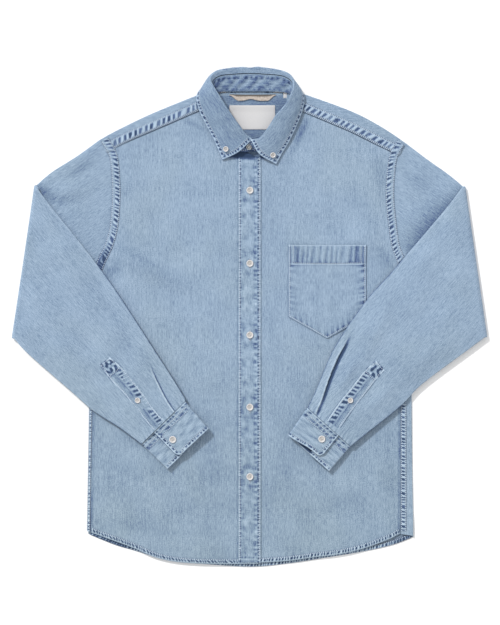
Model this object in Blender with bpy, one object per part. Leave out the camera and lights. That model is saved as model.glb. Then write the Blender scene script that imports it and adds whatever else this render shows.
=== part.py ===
"""A denim work shirt with a button-down collar, laid on its back with both sleeves folded over the
front.  Sides are the wearer's: the wearer's right is at -X, the collar is at +Y and the front faces
up.  Sizes are in millimetres until a mesh is made, and the blender scene is in metres."""

import math

import bmesh
import bpy
import numpy as np
from mathutils import Vector

MM = 0.001

# Cloth
WALL = 1.2          # thickness of one layer, with its hem turns pressed in
LAYER = 1.8         # from the middle of one layer to the middle of the next
SEAM = 0.3          # gap between two pieces at a seam
FOLD = LAYER / 2    # radius of the middle of a flat edge fold
LEVEL = [WALL / 2 + LAYER * layer for layer in range(6)]    # middles of the layers, floor up

# Body
YOKE_SEAM_Y = 262.0         # seam between the yoke and the back
YOKE_FOOT_X = 62.0          # half the part of that seam that lies straight below the neck
NECK_FOOT_Y = 262.0         # where the fronts' centre edges start to part round the neck
NECK_RISE = 1.8             # how far the neck lifts to let the collar leaf pass under it
UNDERARM_Y = {-1: 53.0, 1: 56.0}
HEM_TURN_Y = -270.0         # below this the rows of a panel bend to follow its curved hem
HEM_ROW_Y = -400.0          # the lowest row, which is the hem itself
FRONT_EDGE = {-1: 15.4, 1: 16.0}        # centre edges of the two fronts, under the placket
PLACKET_X = (-18.0, 18.3)
PLACKET_Y = (-404.5, 264.0)
POCKET_X = (63.9, 192.0)
POCKET_TOP = 119.5
POCKET_CORNER = 0.5
POCKET_POINT = -35.5
CUFF_LAP = 0.72             # share of the cuff's width that the buttoned end covers
CUFF_UNDER = 0.52           # where the end below it stops
SLEEVE_TURN = 4.2           # height of the line that the sleeve folds about

# Trim
BUTTON_R = 5.7
SMALL_BUTTON_R = 4.5
BUTTON_H = 2.4
# Places of the front buttons, and of the cuff and sleeve button of each arm
FRONT_BUTTON_Y = (208.7, 88.3, -29.7, -148.5, -263.0)
SLEEVE_BUTTONS = {"right": ((-126.2, -201.3), (-184, -137)), "left": ((118.8, -200.5), (165.8, -137))}
LABEL_WALL = 1.0
LABEL_X = (-33.0, 42.0)
LABEL_Y = (309.5, 349.0)
SIZE_LABEL_X = (56.0, 62.0)
SIZE_LABEL_Y = (360.5, 369.0)
LOOP_WIDTH = 5.0

# Outlines in plan, as (x, y), each from the hem towards the collar
ARMHOLE = {
    -1: [(-266.5, 53), (-253, 91), (-233, 134), (-227.5, 196), (-231, 259), (-235, 270), (-248, 292)],
    1: [(266.5, 56), (256.5, 97), (246.5, 125), (242.5, 160), (238.5, 200), (242, 243), (247, 266),
        (258, 287)],
}
SIDE_SEAM = {-1: [(-258.5, 60), (-259.5, -150), (-263, -360)], 1: [(249, 60), (249, -360)]}
SIDE = {
    -1: [(-266, -362), (-263, -220), (-265.5, 47)],
    1: [(270, -362), (268, -219), (266, 50)],
}
SHOULDER_FOLD = {
    -1: [(-248, 292), (-214, 310), (-164, 334), (-98, 361), (-66, 371)],
    1: [(258, 287), (215, 315), (166, 340), (88, 368), (66, 372)],
}
SHOULDER_SEAM = {
    -1: [(-235, 270), (-197, 290), (-148, 311), (-88, 337), (-66, 347)],
    1: [(247, 266), (215, 280.5), (166, 305), (87, 338), (66, 347)],
}
FRONT_NECK = {
    -1: [(15.4, 262), (-5, 272), (-19, 279), (-40, 299), (-58.5, 325), (-66, 346.5)],
    1: [(16, 262), (17.5, 272), (24, 279), (42, 299), (59, 325), (66, 346.5)],
}
BACK_NECK = [(-58, 370), (-42, 369.5), (0, 369.5), (42, 369.5), (58, 370)]
BACK_HEM = [(-270, -356), (-223, -375), (-189, -385), (-148, -398), (-120, -402.5), (-90, -406), (0, -411.5),
            (64, -406), (124, -397), (184, -387), (234, -376), (272, -362)]
FRONT_HEM = {
    -1: [(-262, -355), (-217, -371), (-190, -381), (-148, -398), (-90, -406), (20, -407)],
    1: [(10, -405), (63, -402), (110, -395.5), (141, -392), (172, -386), (203, -376.5), (234, -364.5),
        (249, -357.5), (272, -361)],
}

# The sleeves: the fold at the elbow, then the two edges of the forearm down to the cuff
ELBOW = {-1: [(-354, 216), (-392, -35)], 1: [(355.5, 215), (392, -33)]}
FOREARM_UPPER = {
    -1: [(-354, 216), (-340, 199), (-285.5, 130.5), (-226.5, 53), (-154.5, -57), (-110, -127),
         (-106, -138.5)],
    1: [(355.5, 215), (321, 175.5), (239, 79.5), (191.5, 26), (141, -48.5), (109, -121.5), (95.5, -148.5)],
}
FOREARM_LOWER = {
    -1: [(-392, -35), (-364, -61), (-296, -120.5), (-256.5, -155), (-213.5, -182.5), (-178, -209)],
    1: [(392, -33), (364, -51), (284.5, -110.5), (248.5, -147), (195, -190), (166.5, -213)],
}
CUFF_HEM = {-1: [(-67, -183.5), (-135, -250.5)], 1: [(63.5, -194.5), (131, -254)]}
SLEEVE_PLACKET = {   # upper and lower edges, from the square end to the cuff
    -1: [[(-229.5, -65.5), (-208, -84), (-190, -105.5), (-172.5, -128.5), (-154.5, -153.5), (-141, -169)],
         [(-247, -79.5), (-226, -107), (-208, -125.5), (-181, -159), (-156.5, -189)]],
    1: [[(208, -71), (189, -87.5), (168, -114.5), (148.5, -138), (126.5, -170)],
        [(223, -87.5), (205.5, -107), (186, -132), (168, -155.5), (146, -187)]],
}

# The collar, one row for each section, from one end of the stand round the back to the other.
# base: seam of the stand on the neck.  top: seam of the leaf on the stand.  roll: the leaf's crown.
# fall: half way down the leaf.  edge: the leaf's outer edge.  Each is (x, y, z).  The leaf is left out
# of the first and last rows, where the stand runs on to button over itself.
COLLAR = [
    # base            top              roll               fall               edge
    ((20, 272, 5.0), (17, 291, 8.0), None, None, None),
    ((2, 273, 5.2), (1, 290, 9.0), (3, 291, 11.5), (-18, 271.5, 11.5), (-45, 258.5, 6.6)),
    ((-12, 277, 5.2), (-10, 299, 11.5), (-10, 302.5, 15.5), (-32, 290, 13), (-52, 276, 6.2)),
    ((-26, 287, 5.2), (-21, 314, 15), (-21, 318, 19.0), (-43, 307, 15), (-61, 296, 6.2)),
    ((-43, 305, 5.2), (-33, 333, 17), (-34, 336, 21.5), (-55, 328, 17), (-72, 317, 6.4)),
    ((-57, 330, 5.4), (-44, 352, 18), (-45.5, 354, 23.0), (-66, 349, 18), (-82, 338, 7.2)),
    ((-62, 352, 6.6), (-54.5, 370, 18), (-58.5, 375, 23.0), (-74, 370, 17.5), (-87.5, 361, 8.6)),
    ((-61, 366, 6.6), (-60.5, 386, 15), (-65.5, 391, 18.0), (-73.5, 385, 11), (-79, 376, 3.2)),
    ((-47, 371, 5.4), (-48, 396, 11.5), (-53, 404.5, 13.0), (-58, 399, 6.5), (-59, 382, 1.2)),
    ((-24, 372, 4.8), (-24, 399, 9.5), (-25, 409.8, 10.0), (-27, 392, 2.4), (-29, 366, 0.75)),
    ((0, 372, 4.6), (0, 400, 9.0), (0, 411, 9.5), (0, 392, 2.0), (0, 363, 0.65)),
    ((24, 372, 4.8), (24, 399, 9.5), (26, 410, 10.0), (28, 392, 2.4), (29, 366, 0.75)),
    ((50, 371, 5.4), (53, 396, 11.5), (57, 403.5, 13.0), (61, 398, 6.5), (62, 382, 1.2)),
    ((66.5, 367, 6.6), (68.5, 386.5, 15), (71.5, 391, 18.0), (77.5, 385, 11), (82, 376, 3.2)),
    ((67.5, 354, 6.6), (69.5, 370, 18), (71.5, 373, 23.0), (81, 370, 17.5), (90, 361, 8.6)),
    ((60, 332, 5.4), (59, 348.5, 18), (61, 350, 23.0), (75, 346, 18), (86, 336, 7.2)),
    ((45, 306, 5.2), (41, 327, 17), (44, 328.5, 21.5), (62, 320, 17), (76.5, 312, 6.4)),
    ((28, 287, 5.8), (29, 306.5, 15), (31, 309, 19.0), (50, 297, 15), (66, 290, 6.2)),
    ((13, 277, 7.0), (16, 291.5, 12.5), (17.5, 293.5, 16.5), (36, 280, 14), (54, 270, 6.4)),
    ((-2, 273, 7.4), (-1, 288, 10.2), (3, 289.5, 13.8), (16, 268, 12.5), (44, 251.5, 6.8)),
    ((-18, 272, 7.4), (-16, 287, 9.6), None, None, None),
]

# Colours as linear base colours
DENIM = (0.33, 0.46, 0.61)
BUTTON = (0.80, 0.80, 0.77)
TAPE = (0.78, 0.68, 0.58)
LABEL = (0.80, 0.80, 0.79)


def material(name, colour, roughness):
    """A plain finish."""
    made = bpy.data.materials.new(name)
    made.use_nodes = True
    shader = made.node_tree.nodes["Principled BSDF"]
    shader.inputs["Base Color"].default_value = (*colour, 1.0)
    shader.inputs["Roughness"].default_value = roughness
    shader.inputs["Metallic"].default_value = 0.0
    return made


def smooth(value):
    """Soft step from 0 to 1."""
    value = min(1.0, max(0.0, value))
    return value * value * (3.0 - 2.0 * value)


def neck_lift(x, y):
    """How far every layer is lifted near the neck by the leaf that passes under it."""
    return NECK_RISE * smooth((y - 336.0) / 18.0) * smooth((112.0 - abs(x)) / 30.0)


def x_at(outline, y):
    """The outline's x at a height y."""
    points = sorted(outline, key=lambda point: point[1])
    return float(np.interp(y, [point[1] for point in points], [point[0] for point in points]))


def y_at(outline, x):
    """The outline's y at a place x."""
    points = sorted(outline)
    return float(np.interp(x, [point[0] for point in points], [point[1] for point in points]))


def hem_place(outline, x, y):
    """Carries a panel's rows below HEM_TURN_Y down to its curved hem; the lowest row is the hem itself."""
    if y >= HEM_TURN_Y:
        return y
    share = (HEM_TURN_Y - y) / (HEM_TURN_Y - HEM_ROW_Y)
    return HEM_TURN_Y + (y_at(outline, x) - HEM_TURN_Y) * share


def along(outline, share):
    """The point at a share of an outline's length."""
    points = np.array(outline, float)
    steps = np.linalg.norm(np.diff(points, axis=0), axis=1)
    walked = np.concatenate([[0.0], np.cumsum(steps)])
    place = share * walked[-1]
    return np.array([np.interp(place, walked, points[:, axis]) for axis in range(points.shape[1])])


def shell(name, grid, finish, wall=WALL, ring=False):
    """A closed wall of even thickness, with the grid's points in its middle.  Where ring is set, the
    grid's columns run all the way round."""
    grid = np.array(grid, float)
    across = np.gradient(grid, axis=0)
    if ring:
        round_ = np.roll(grid, -1, axis=1) - np.roll(grid, 1, axis=1)
    else:
        round_ = np.gradient(grid, axis=1)
    normal = np.cross(round_, across)
    normal /= np.linalg.norm(normal, axis=2, keepdims=True)
    rows, columns = grid.shape[:2]
    mesh = bmesh.new()
    faces = []
    for offset in (wall / 2, -wall / 2):
        points = (grid + normal * offset) * MM
        faces.append([[mesh.verts.new(point) for point in row] for row in points])
    outer, inner = faces
    spans = [(column, (column + 1) % columns) for column in range(columns if ring else columns - 1)]
    for row in range(rows - 1):
        for left, right in spans:
            mesh.faces.new((outer[row][left], outer[row][right], outer[row + 1][right], outer[row + 1][left]))
            mesh.faces.new((inner[row][left], inner[row + 1][left], inner[row + 1][right], inner[row][right]))
    for row in (0, rows - 1):
        for left, right in spans:
            mesh.faces.new((outer[row][left], inner[row][left], inner[row][right], outer[row][right]))
    if not ring:
        for column in (0, columns - 1):
            for row in range(rows - 1):
                mesh.faces.new((outer[row][column], outer[row + 1][column],
                                inner[row + 1][column], inner[row][column]))
    bmesh.ops.recalc_face_normals(mesh, faces=mesh.faces)
    data = bpy.data.meshes.new(name)
    mesh.to_mesh(data)
    mesh.free()
    data.materials.append(finish)
    made = bpy.data.objects.new(name, data)
    bpy.context.scene.collection.objects.link(made)
    return made


def roll(edge, outward, width, turn):
    """Points in (across, up) past an edge: a half-round fold of the given turn, then a flat return."""
    points = []
    for step in range(1, 5):
        angle = turn * step / 4
        reach = 4 * FOLD * step / 4 if turn < 0.01 else FOLD * math.sin(angle)
        points.append((edge + outward * reach, FOLD * (1 - math.cos(angle))))
    last, rise = points[-1]
    for share in (0.5, 1.0):
        points.append((last + outward * math.cos(turn) * width * share,
                       rise + math.sin(turn) * width * share))
    return points


def back_panel(finish):
    """The back, whose side edges turn up and over to the side seams on the front."""
    heights = [HEM_ROW_Y, -340, HEM_TURN_Y, -200, -110, -30, 30, 44, 50, 54, 60, 75, 91, 112, 134, 165, 196,
               228, 250, YOKE_SEAM_Y - SEAM]
    grid = []
    for y in heights:
        ends = {}
        for side in (-1, 1):
            limit = UNDERARM_Y[side]
            turn = math.pi * smooth((limit + 2 - y) / 7)
            full = abs(x_at(SIDE[side], y) - x_at(SIDE_SEAM[side], y)) - FOLD - WALL / 2
            width = 0.5 + (full - 0.5 - SEAM) * smooth((limit - 6 - y) / 8)
            if y <= limit - 6:
                edge = x_at(SIDE[side], y) - side * (FOLD + WALL / 2)
            else:
                outline = SIDE[side] if y < limit else ARMHOLE[side]
                edge = x_at(outline, y) - side * (SEAM + 0.3 + 4 * FOLD + 0.5)
            ends[side] = (edge, roll(edge, side, width, turn))
        left, right = ends[-1][0], ends[1][0]
        section = [point for point in reversed(ends[-1][1])]
        section += [(left + (right - left) * share, 0.0) for share in np.linspace(0, 1, 13)]
        section += ends[1][1]
        grid.append([(x, hem_place(BACK_HEM, x, y), LEVEL[0] + rise) for x, rise in section])
    return shell("back_panel", grid, finish)


def front(side, name, finish):
    """One front, from its side seam to its centre edge, up to the armhole, shoulder and neck."""
    limit = UNDERARM_Y[side]
    heights = [HEM_ROW_Y, -340, HEM_TURN_Y, -200, -110, -30, 30, limit - 2, limit + 6, 75, 91, 112, 134, 165,
               196, 230, 258, 270, 280, 290, 300, 311, 324, 336, 344]
    outer = {-1: ARMHOLE[-1][:-1] + SHOULDER_SEAM[-1][1:], 1: ARMHOLE[1][:-1] + SHOULDER_SEAM[1][1:]}[side]
    grid = []
    for y in heights:
        if y <= limit - 2:
            start = x_at(SIDE_SEAM[side], y)
        else:
            start = x_at(outer, y) - side * (SEAM + 1.0)
        end = x_at(FRONT_NECK[side], y) + side * SEAM if y > NECK_FOOT_Y else FRONT_EDGE[side]
        row = []
        for share in np.linspace(0, 1, 9):
            x = start + (end - start) * share
            place = hem_place(FRONT_HEM[side], x, y)
            row.append((x, place, LEVEL[1] + neck_lift(x, place)))
        grid.append(row)
    return shell(name, grid, finish)


def yoke(finish):
    """The yoke: flat across the back, and folded over each shoulder to the seam on the front."""
    columns = []
    shoulder_shares = [0.0, 0.18, 0.4, 0.62, 0.82, 0.94, 1.0]
    for side in (-1, 1):
        half = []
        for share in shoulder_shares:
            crown = along(SHOULDER_FOLD[side], share)
            seam = along(SHOULDER_SEAM[side], share)
            tangent = along(SHOULDER_FOLD[side], min(1, share + 0.02)) - along(SHOULDER_FOLD[side],
                                                                             max(0, share - 0.02))
            outward = np.array([-tangent[1], tangent[0]]) * -side
            outward /= np.linalg.norm(outward)
            crown = crown - outward * (FOLD + WALL / 2)
            foot = np.array([x_at(ARMHOLE[side], YOKE_SEAM_Y) * (1 - share) + side * YOKE_FOOT_X * share,
                             YOKE_SEAM_Y])
            if share == 0:
                crown = crown - np.array([side * 1.2, 0])
                seam = seam - np.array([side * 1.2, 0])
                foot = foot - np.array([side * 1.2, 0])
            column = []
            for step in (0.0, 0.35, 0.7, 0.88, 1.0):
                x, y = foot + (crown - foot) * step
                column.append((x, y, LEVEL[0] + neck_lift(x, y)))
            for angle in (45, 90, 135):
                turn = math.radians(angle)
                x, y = crown + outward * FOLD * math.sin(turn)
                column.append((x, y, LEVEL[0] + FOLD * (1 - math.cos(turn)) + neck_lift(*crown)))
            for step in (0.0, 0.5, 1.0):
                x, y = crown + (seam + np.array([0, SEAM + 0.5]) - crown) * step
                column.append((x, y, LEVEL[1] + neck_lift(x, y)))
            half.append(column)
        if side == -1:
            columns += half
            for share in np.linspace(0, 1, 9):
                x, y = along(BACK_NECK, share)
                foot = np.array([x, YOKE_SEAM_Y])
                column = []
                for step in (0.0, 0.35, 0.7, 0.86, 0.94, 0.95, 0.96, 0.97, 0.98, 0.99, 1.0):
                    place = foot + (np.array([x, y]) - foot) * step
                    column.append((place[0], place[1], LEVEL[0] + neck_lift(*place)))
                columns.append(column)
        else:
            columns += reversed(half)
    return shell("yoke", columns, finish)


def ring_profile(width, count):
    """A flat tube's section as (across, up) round its middle: the upper layer out, the lower one back."""
    near = FOLD + WALL / 2
    flat = np.linspace(near, width - near, count)
    points = [(across, FOLD) for across in flat]
    points += [(width - near + FOLD * math.cos(math.radians(angle)), FOLD * math.sin(math.radians(angle)))
               for angle in (45, 0, -45)]
    points += [(across, -FOLD) for across in reversed(flat)]
    points += [(near - FOLD * math.cos(math.radians(angle)), FOLD * math.sin(math.radians(angle)))
               for angle in (-45, 0, 45)]
    return points


def sleeve(side, name, finish):
    """A sleeve as one flat tube: out from the armhole, over at the elbow, and back across the front."""
    upper_middle = (LEVEL[0] + LEVEL[1]) / 2
    armhole = [np.array(point) for point in reversed(ARMHOLE[side])]
    elbow = np.array(ELBOW[side], float)
    run = (elbow[1] - elbow[0]) / np.linalg.norm(elbow[1] - elbow[0])
    outward = np.array([side * abs(run[1]), abs(run[0])])
    reach = SLEEVE_TURN - LEVEL[0] + WALL / 2
    axis = elbow - outward * reach
    grid = []
    for share in (0.0, 0.06, 0.3, 0.6, 0.85, 1.0):
        row = []
        for across, up in ring_profile(260.0, 7):
            start = along(armhole, across / 260.0) + np.array([side * SEAM, 0])
            end = along(axis, across / 260.0)
            row.append((*(start + (end - start) * share), upper_middle + up))
        grid.append(row)
    for angle in (30, 60, 90, 120, 150):
        turn = math.radians(angle)
        row = []
        for across, up in ring_profile(260.0, 7):
            radius = SLEEVE_TURN - upper_middle - up
            place = along(axis, across / 260.0) + outward * radius * math.sin(turn)
            row.append((*place, SLEEVE_TURN - radius * math.cos(turn)))
        grid.append(row)
    upper = [tuple(axis[0])] + FOREARM_UPPER[side][1:]
    lower = [tuple(axis[1])] + FOREARM_LOWER[side][1:]
    for share in (0.0, 0.08, 0.2, 0.34, 0.48, 0.62, 0.76, 0.88, 0.96, 1.0):
        first, last = along(upper, share), along(lower, share)
        width = np.linalg.norm(last - first)
        row = []
        for across, up in ring_profile(width, 7):
            radius = SLEEVE_TURN - upper_middle - up
            row.append((*(first + (last - first) * across / width), SLEEVE_TURN + radius))
        grid.append(row)
    return shell(name, grid, finish, ring=True)


def cuff(side, name, finish):
    """A cuff wrapped flat round the sleeve's end, with its buttoned end lapped over the other."""
    seam = np.array([FOREARM_UPPER[side][-1], FOREARM_LOWER[side][-1]], float)
    hem = np.array(CUFF_HEM[side], float)
    down = (hem[0] - seam[0]) / np.linalg.norm(hem[0] - seam[0])
    width = np.linalg.norm(seam[1] - seam[0])
    near = FOLD + WALL / 2
    section = [(width * CUFF_LAP * share, LEVEL[5]) for share in (1.0, 0.66, 0.33)]
    section.append((near + 0.6, LEVEL[5]))
    section += [(near + 0.6 - 2 * FOLD * math.cos(math.radians(angle)),
                 LEVEL[4] + 2 * FOLD * math.sin(math.radians(angle))) for angle in (55, 20, -20, -55)]
    section.append((near + 0.6, LEVEL[3]))
    section += [(width * share, LEVEL[3]) for share in (0.25, 0.5, 0.75)]
    section.append((width - near, LEVEL[3]))
    section += [(width - near + FOLD * math.cos(math.radians(angle)),
                 LEVEL[3] + FOLD + FOLD * math.sin(math.radians(angle))) for angle in (-45, 0, 45)]
    section.append((width - near, LEVEL[4]))
    section.append((width * CUFF_UNDER, LEVEL[4]))
    grid = []
    for share in (0.0, 0.33, 0.66, 1.0):
        first = seam[0] + down * SEAM + (hem[0] - seam[0] - down * SEAM) * share
        last = seam[1] + down * SEAM + (hem[1] - seam[1] - down * SEAM) * share
        grid.append([(*(first + (last - first) * across / width), up) for across, up in section])
    return shell(name, grid, finish)


def sleeve_placket(side, name, finish):
    """The strip over the sleeve's slit."""
    upper, lower = SLEEVE_PLACKET[side]
    grid = []
    for share in (0.0, 0.2, 0.4, 0.6, 0.8, 0.985):
        first, last = along(upper, share), along(lower, share)
        grid.append([(*(first + (last - first) * across), LEVEL[5]) for across in (0.0, 0.33, 0.67, 1.0)])
    return shell(name, grid, finish)


def front_placket(finish):
    """The buttonhole band down the left front, from the hem to the neckband."""
    grid = []
    for y in np.linspace(*PLACKET_Y, 13):
        grid.append([(x, y, LEVEL[2]) for x in np.linspace(*PLACKET_X, 4)])
    return shell("front_placket", grid, finish)


def pocket(finish):
    """The chest pocket, square at the top and pointed at the foot."""
    middle = sum(POCKET_X) / 2
    half = (POCKET_X[1] - POCKET_X[0]) / 2
    grid = []
    for share in (0.0, 0.13, 0.4, 0.7, 1.0):
        row = []
        for x in np.linspace(*POCKET_X, 9):
            foot = POCKET_POINT + (POCKET_CORNER - POCKET_POINT) * abs(x - middle) / half
            row.append((x, POCKET_TOP + (foot - POCKET_TOP) * share, LEVEL[2]))
        grid.append(row)
    return shell("pocket", grid, finish)


def spline(points, count):
    """Points on a smooth curve through the given ones, which are close to evenly spaced."""
    points = np.array(points, float)
    padded = np.vstack([2 * points[0] - points[1], points, 2 * points[-1] - points[-2]])
    made = []
    for value in np.linspace(0, len(points) - 1, count):
        index = min(int(value), len(points) - 2)
        t = value - index
        a, b, c, d = padded[index:index + 4]
        made.append(0.5 * (2 * b + (c - a) * t + (2 * a - 5 * b + 4 * c - d) * t * t
                           + (3 * b - a - 3 * c + d) * t ** 3))
    return np.array(made)


def neckband(finish):
    """The stand, from its seam on the neck to its seam with the leaf."""
    base = spline([row[0] for row in COLLAR], 41)
    top = spline([row[1] for row in COLLAR], 41)
    grid = [[low + (high - low) * share for share in (0.0, 0.33, 0.67, 1.0)] for low, high in zip(base, top)]
    return shell("neckband", grid, finish)


def leaf_grid():
    """The leaf: up from the stand, over the roll, and down to its edge."""
    columns = [spline([row[column] for row in COLLAR[1:-1]], 37) for column in range(1, 5)]
    grid = []
    for high, over, fall, rim in zip(*columns):
        rise = over - high
        start = high + rise * min(0.5, 1.5 / np.linalg.norm(rise))
        grid.append(spline([start, over, fall, rim], 10))
    return grid


def collar_leaf(finish):
    """The turned-down leaf with its two points."""
    return shell("collar_leaf", leaf_grid(), finish)


def label(name, x_range, y_range, finish):
    """A flat woven label on the inside of the yoke."""
    grid = []
    for y in np.linspace(*y_range, 5):
        grid.append([(x, y, LEVEL[0] + neck_lift(x, y) + LAYER) for x in np.linspace(*x_range, 5)])
    return shell(name, grid, finish, wall=LABEL_WALL)


def hanger_loop(finish):
    """A tape between two points of the neck seam, which droops on to the yoke."""
    grid = []
    for share in np.linspace(0, 1, 13):
        x = -32.0 + 74.0 * share
        sag = 11.0 * smooth(share / 0.3) * smooth((1 - share) / 0.25)
        y = 365.0 - sag
        z = LEVEL[0] + neck_lift(x, y) + LAYER + 0.6
        grid.append([(x, y + LOOP_WIDTH / 2, z), (x, y - LOOP_WIDTH / 2, z)])
    return shell("hanger_loop", grid, finish, wall=LABEL_WALL)


def button(name, place, up, radius, finish):
    """A dished button that stands on the cloth."""
    profile = [(0.0, 0.0), (radius * 0.8, 0.0), (radius, BUTTON_H * 0.35), (radius, BUTTON_H * 0.75),
               (radius * 0.88, BUTTON_H), (radius * 0.72, BUTTON_H), (radius * 0.6, BUTTON_H * 0.75),
               (0.0, BUTTON_H * 0.75)]
    mesh = bmesh.new()
    points = [mesh.verts.new((r * MM, 0.0, z * MM)) for r, z in profile]
    edges = [mesh.edges.new(pair) for pair in zip(points, points[1:])]
    bmesh.ops.spin(mesh, geom=points + edges, axis=(0, 0, 1), cent=(0, 0, 0), steps=16,
                   angle=math.tau, use_duplicate=False)
    bmesh.ops.remove_doubles(mesh, verts=mesh.verts, dist=0.00001)
    bmesh.ops.recalc_face_normals(mesh, faces=mesh.faces)
    data = bpy.data.meshes.new(name)
    mesh.to_mesh(data)
    mesh.free()
    data.materials.append(finish)
    made = bpy.data.objects.new(name, data)
    made.location = Vector(place) * MM
    made.rotation_mode = "QUATERNION"
    made.rotation_quaternion = Vector((0, 0, 1)).rotation_difference(Vector(up))
    bpy.context.scene.collection.objects.link(made)
    return made


def on_grid(grid, x, y, gap):
    """A place above the sheet of points nearest (x, y), and the sheet's upward normal there."""
    points = np.array(grid, float)
    flat = np.abs(points[..., 0] - x) + np.abs(points[..., 1] - y) - points[..., 2]
    row, column = np.unravel_index(np.argmin(flat), flat.shape)
    row = min(max(row, 1), points.shape[0] - 2)
    column = min(max(column, 1), points.shape[1] - 2)
    normal = np.cross(points[row + 1, column] - points[row - 1, column],
                      points[row, column + 1] - points[row, column - 1])
    normal *= np.sign(normal[2]) / np.linalg.norm(normal)
    rise = -(normal[0] * (x - points[row, column, 0]) + normal[1] * (y - points[row, column, 1])) / normal[2]
    return np.array([x, y, points[row, column, 2] + rise]) + normal * gap, normal


def buttons(finish):
    """Five on the front, one on the neckband, two on the collar points, and two on each sleeve."""
    on_cloth = WALL / 2 + SEAM
    for number, y in enumerate(FRONT_BUTTON_Y, start=1):
        button(f"front_button_{number}", (0.6, y, LEVEL[2] + on_cloth), (0, 0, 1), BUTTON_R, finish)
    place, normal = on_grid(leaf_grid(), -38.8, 276.4, 1.8)
    button("collar_button_right", place, normal, SMALL_BUTTON_R, finish)
    place, normal = on_grid(leaf_grid(), 38.4, 266.5, 1.8)
    button("collar_button_left", place, normal, SMALL_BUTTON_R, finish)
    button("neckband_button", (1.0, 279.0, 10.3), (0, -0.22, 1), SMALL_BUTTON_R, finish)
    for word, spots in SLEEVE_BUTTONS.items():
        for kind, (x, y) in zip(("cuff", "sleeve"), spots):
            radius = BUTTON_R if kind == "cuff" else SMALL_BUTTON_R
            button(f"{kind}_button_{word}", (x, y, LEVEL[5] + on_cloth), (0, 0, 1), radius, finish)


def main():
    for found in list(bpy.data.objects):
        bpy.data.objects.remove(found, do_unlink=True)
    denim = material("denim", DENIM, 0.9)
    back_panel(denim)
    yoke(denim)
    front(-1, "front_right", denim)
    front(1, "front_left", denim)
    front_placket(denim)
    pocket(denim)
    for side, word in ((-1, "right"), (1, "left")):
        sleeve(side, f"sleeve_{word}", denim)
        cuff(side, f"cuff_{word}", denim)
        sleeve_placket(side, f"sleeve_placket_{word}", denim)
    neckband(denim)
    collar_leaf(denim)
    white = material("label", LABEL, 0.8)
    label("neck_label", LABEL_X, LABEL_Y, white)
    label("size_label", SIZE_LABEL_X, SIZE_LABEL_Y, white)
    hanger_loop(material("tape", TAPE, 0.85))
    buttons(material("button", BUTTON, 0.35))


main()
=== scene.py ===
"""The looks of a washed denim shirt that lies on its back with its sleeves folded over the front.

Sides are the wearer's: side -1 is the wearer's right, at -X, and side 1 the wearer's left.  Sizes are
in millimetres until a mesh is made, and then in metres.  A grid is an array of points, rows by columns,
in the middle of a layer of cloth.  Wear and shading runs from -1, dark unfaded blue in a pucker or
painted shade in a crease, recess or shadow, to 1, cloth rubbed pale on a ridge or a folded edge or a
painted highlight."""

import math

import bmesh
import bpy
import numpy as np
from mathutils import Matrix, Vector


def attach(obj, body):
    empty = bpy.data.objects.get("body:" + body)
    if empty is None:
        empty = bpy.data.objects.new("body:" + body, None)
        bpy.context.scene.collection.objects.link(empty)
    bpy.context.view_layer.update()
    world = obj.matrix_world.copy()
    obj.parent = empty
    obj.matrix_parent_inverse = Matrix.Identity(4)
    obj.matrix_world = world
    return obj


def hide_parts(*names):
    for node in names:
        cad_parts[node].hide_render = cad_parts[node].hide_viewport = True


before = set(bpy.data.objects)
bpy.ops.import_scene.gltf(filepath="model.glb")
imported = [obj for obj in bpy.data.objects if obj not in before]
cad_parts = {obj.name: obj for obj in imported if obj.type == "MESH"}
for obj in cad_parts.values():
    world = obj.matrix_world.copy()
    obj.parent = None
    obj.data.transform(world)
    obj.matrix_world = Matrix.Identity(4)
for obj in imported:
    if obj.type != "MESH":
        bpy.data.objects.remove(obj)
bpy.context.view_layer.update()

MM = 0.001                  # a millimetre in metres
SIDES = ((-1, "right"), (1, "left"))
UP, DOWN = (0, 0, 1), (0, 0, -1)

# ---------------------------------------------------------------- cloth and layers
CLOTH = 0.9                 # thickness of the denim that is seen
CAD_WALL = 1.2
LAYER = 1.8                 # from the middle of one layer to the middle of the next
FOLD = LAYER / 2            # radius of a fold
SEAM = 0.3                  # gap left between two pieces that meet at a seam
LEVEL = [CAD_WALL / 2 + LAYER * layer for layer in range(6)]
FLOOR_GAP = CLOTH / 2 + 0.02    # the lowest layer's middle, just on the floor
OVER = 1.12                 # how much higher than flat the layers turned over an edge stand
BAND_GAP = 0.35             # from the middle of the cloth to the middle of a band sewn on it

# ---------------------------------------------------------------- the cut, laid flat
YOKE_SEAM_Y = 262.0
NECK_RISE = 1.8             # how far the layers are lifted at the back of the neck
SIDE_SEAM = {-1: [(-258.5, 60), (-259.5, -150), (-263, -360)], 1: [(249, 60), (249, -360)]}
UNDERARM_Y = {-1: 53.0, 1: 56.0}
FRONT_EDGE = {-1: 15.4, 1: 16.0}
PLACKET_X = (-18.0, 18.3)
PLACKET_Y = (-404.5, 264.0)
POCKET_X = (63.9, 192.0)
POCKET_TOP = 119.5
POCKET_HEM = 32.5           # depth of the pocket's turned hem
POCKET_CORNER = 0.5
POCKET_POINT = -35.5
CUFF_LAP = 0.72             # where the buttoned end stops, as a share of the cuff's width
CUFF_UNDER = 0.52           # and the end under it
CUFF_CORNER = 11.0          # radius of the buttoned end's corner
BUTTON_R = 5.7
SMALL_BUTTON_R = 4.5
BUTTON_X = 0.6              # the line of buttons down the front
LEAF = 1.1                  # thickness of the collar's leaf
HEM_TURN_Y = -270.0         # below here the rows of the body bend down to its curved hem
HEM_ROW_Y = -400.0          # where the lowest row would be without that
ARM_WIDTH = 260.0           # nominal width of the upper arm, which the rows there are stretched to
ARM_MIDDLE = FLOOR_GAP + 1.06 * FOLD    # height between the two layers of an upper arm
TURN_HEIGHT = 4.7           # height of the line that a sleeve turns over round at its elbow
ARM_STEPS = 34              # rows of a sleeve from the armhole to that line
TURN_ANGLES = np.linspace(15, 165, 13)      # and over it, in degrees

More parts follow.
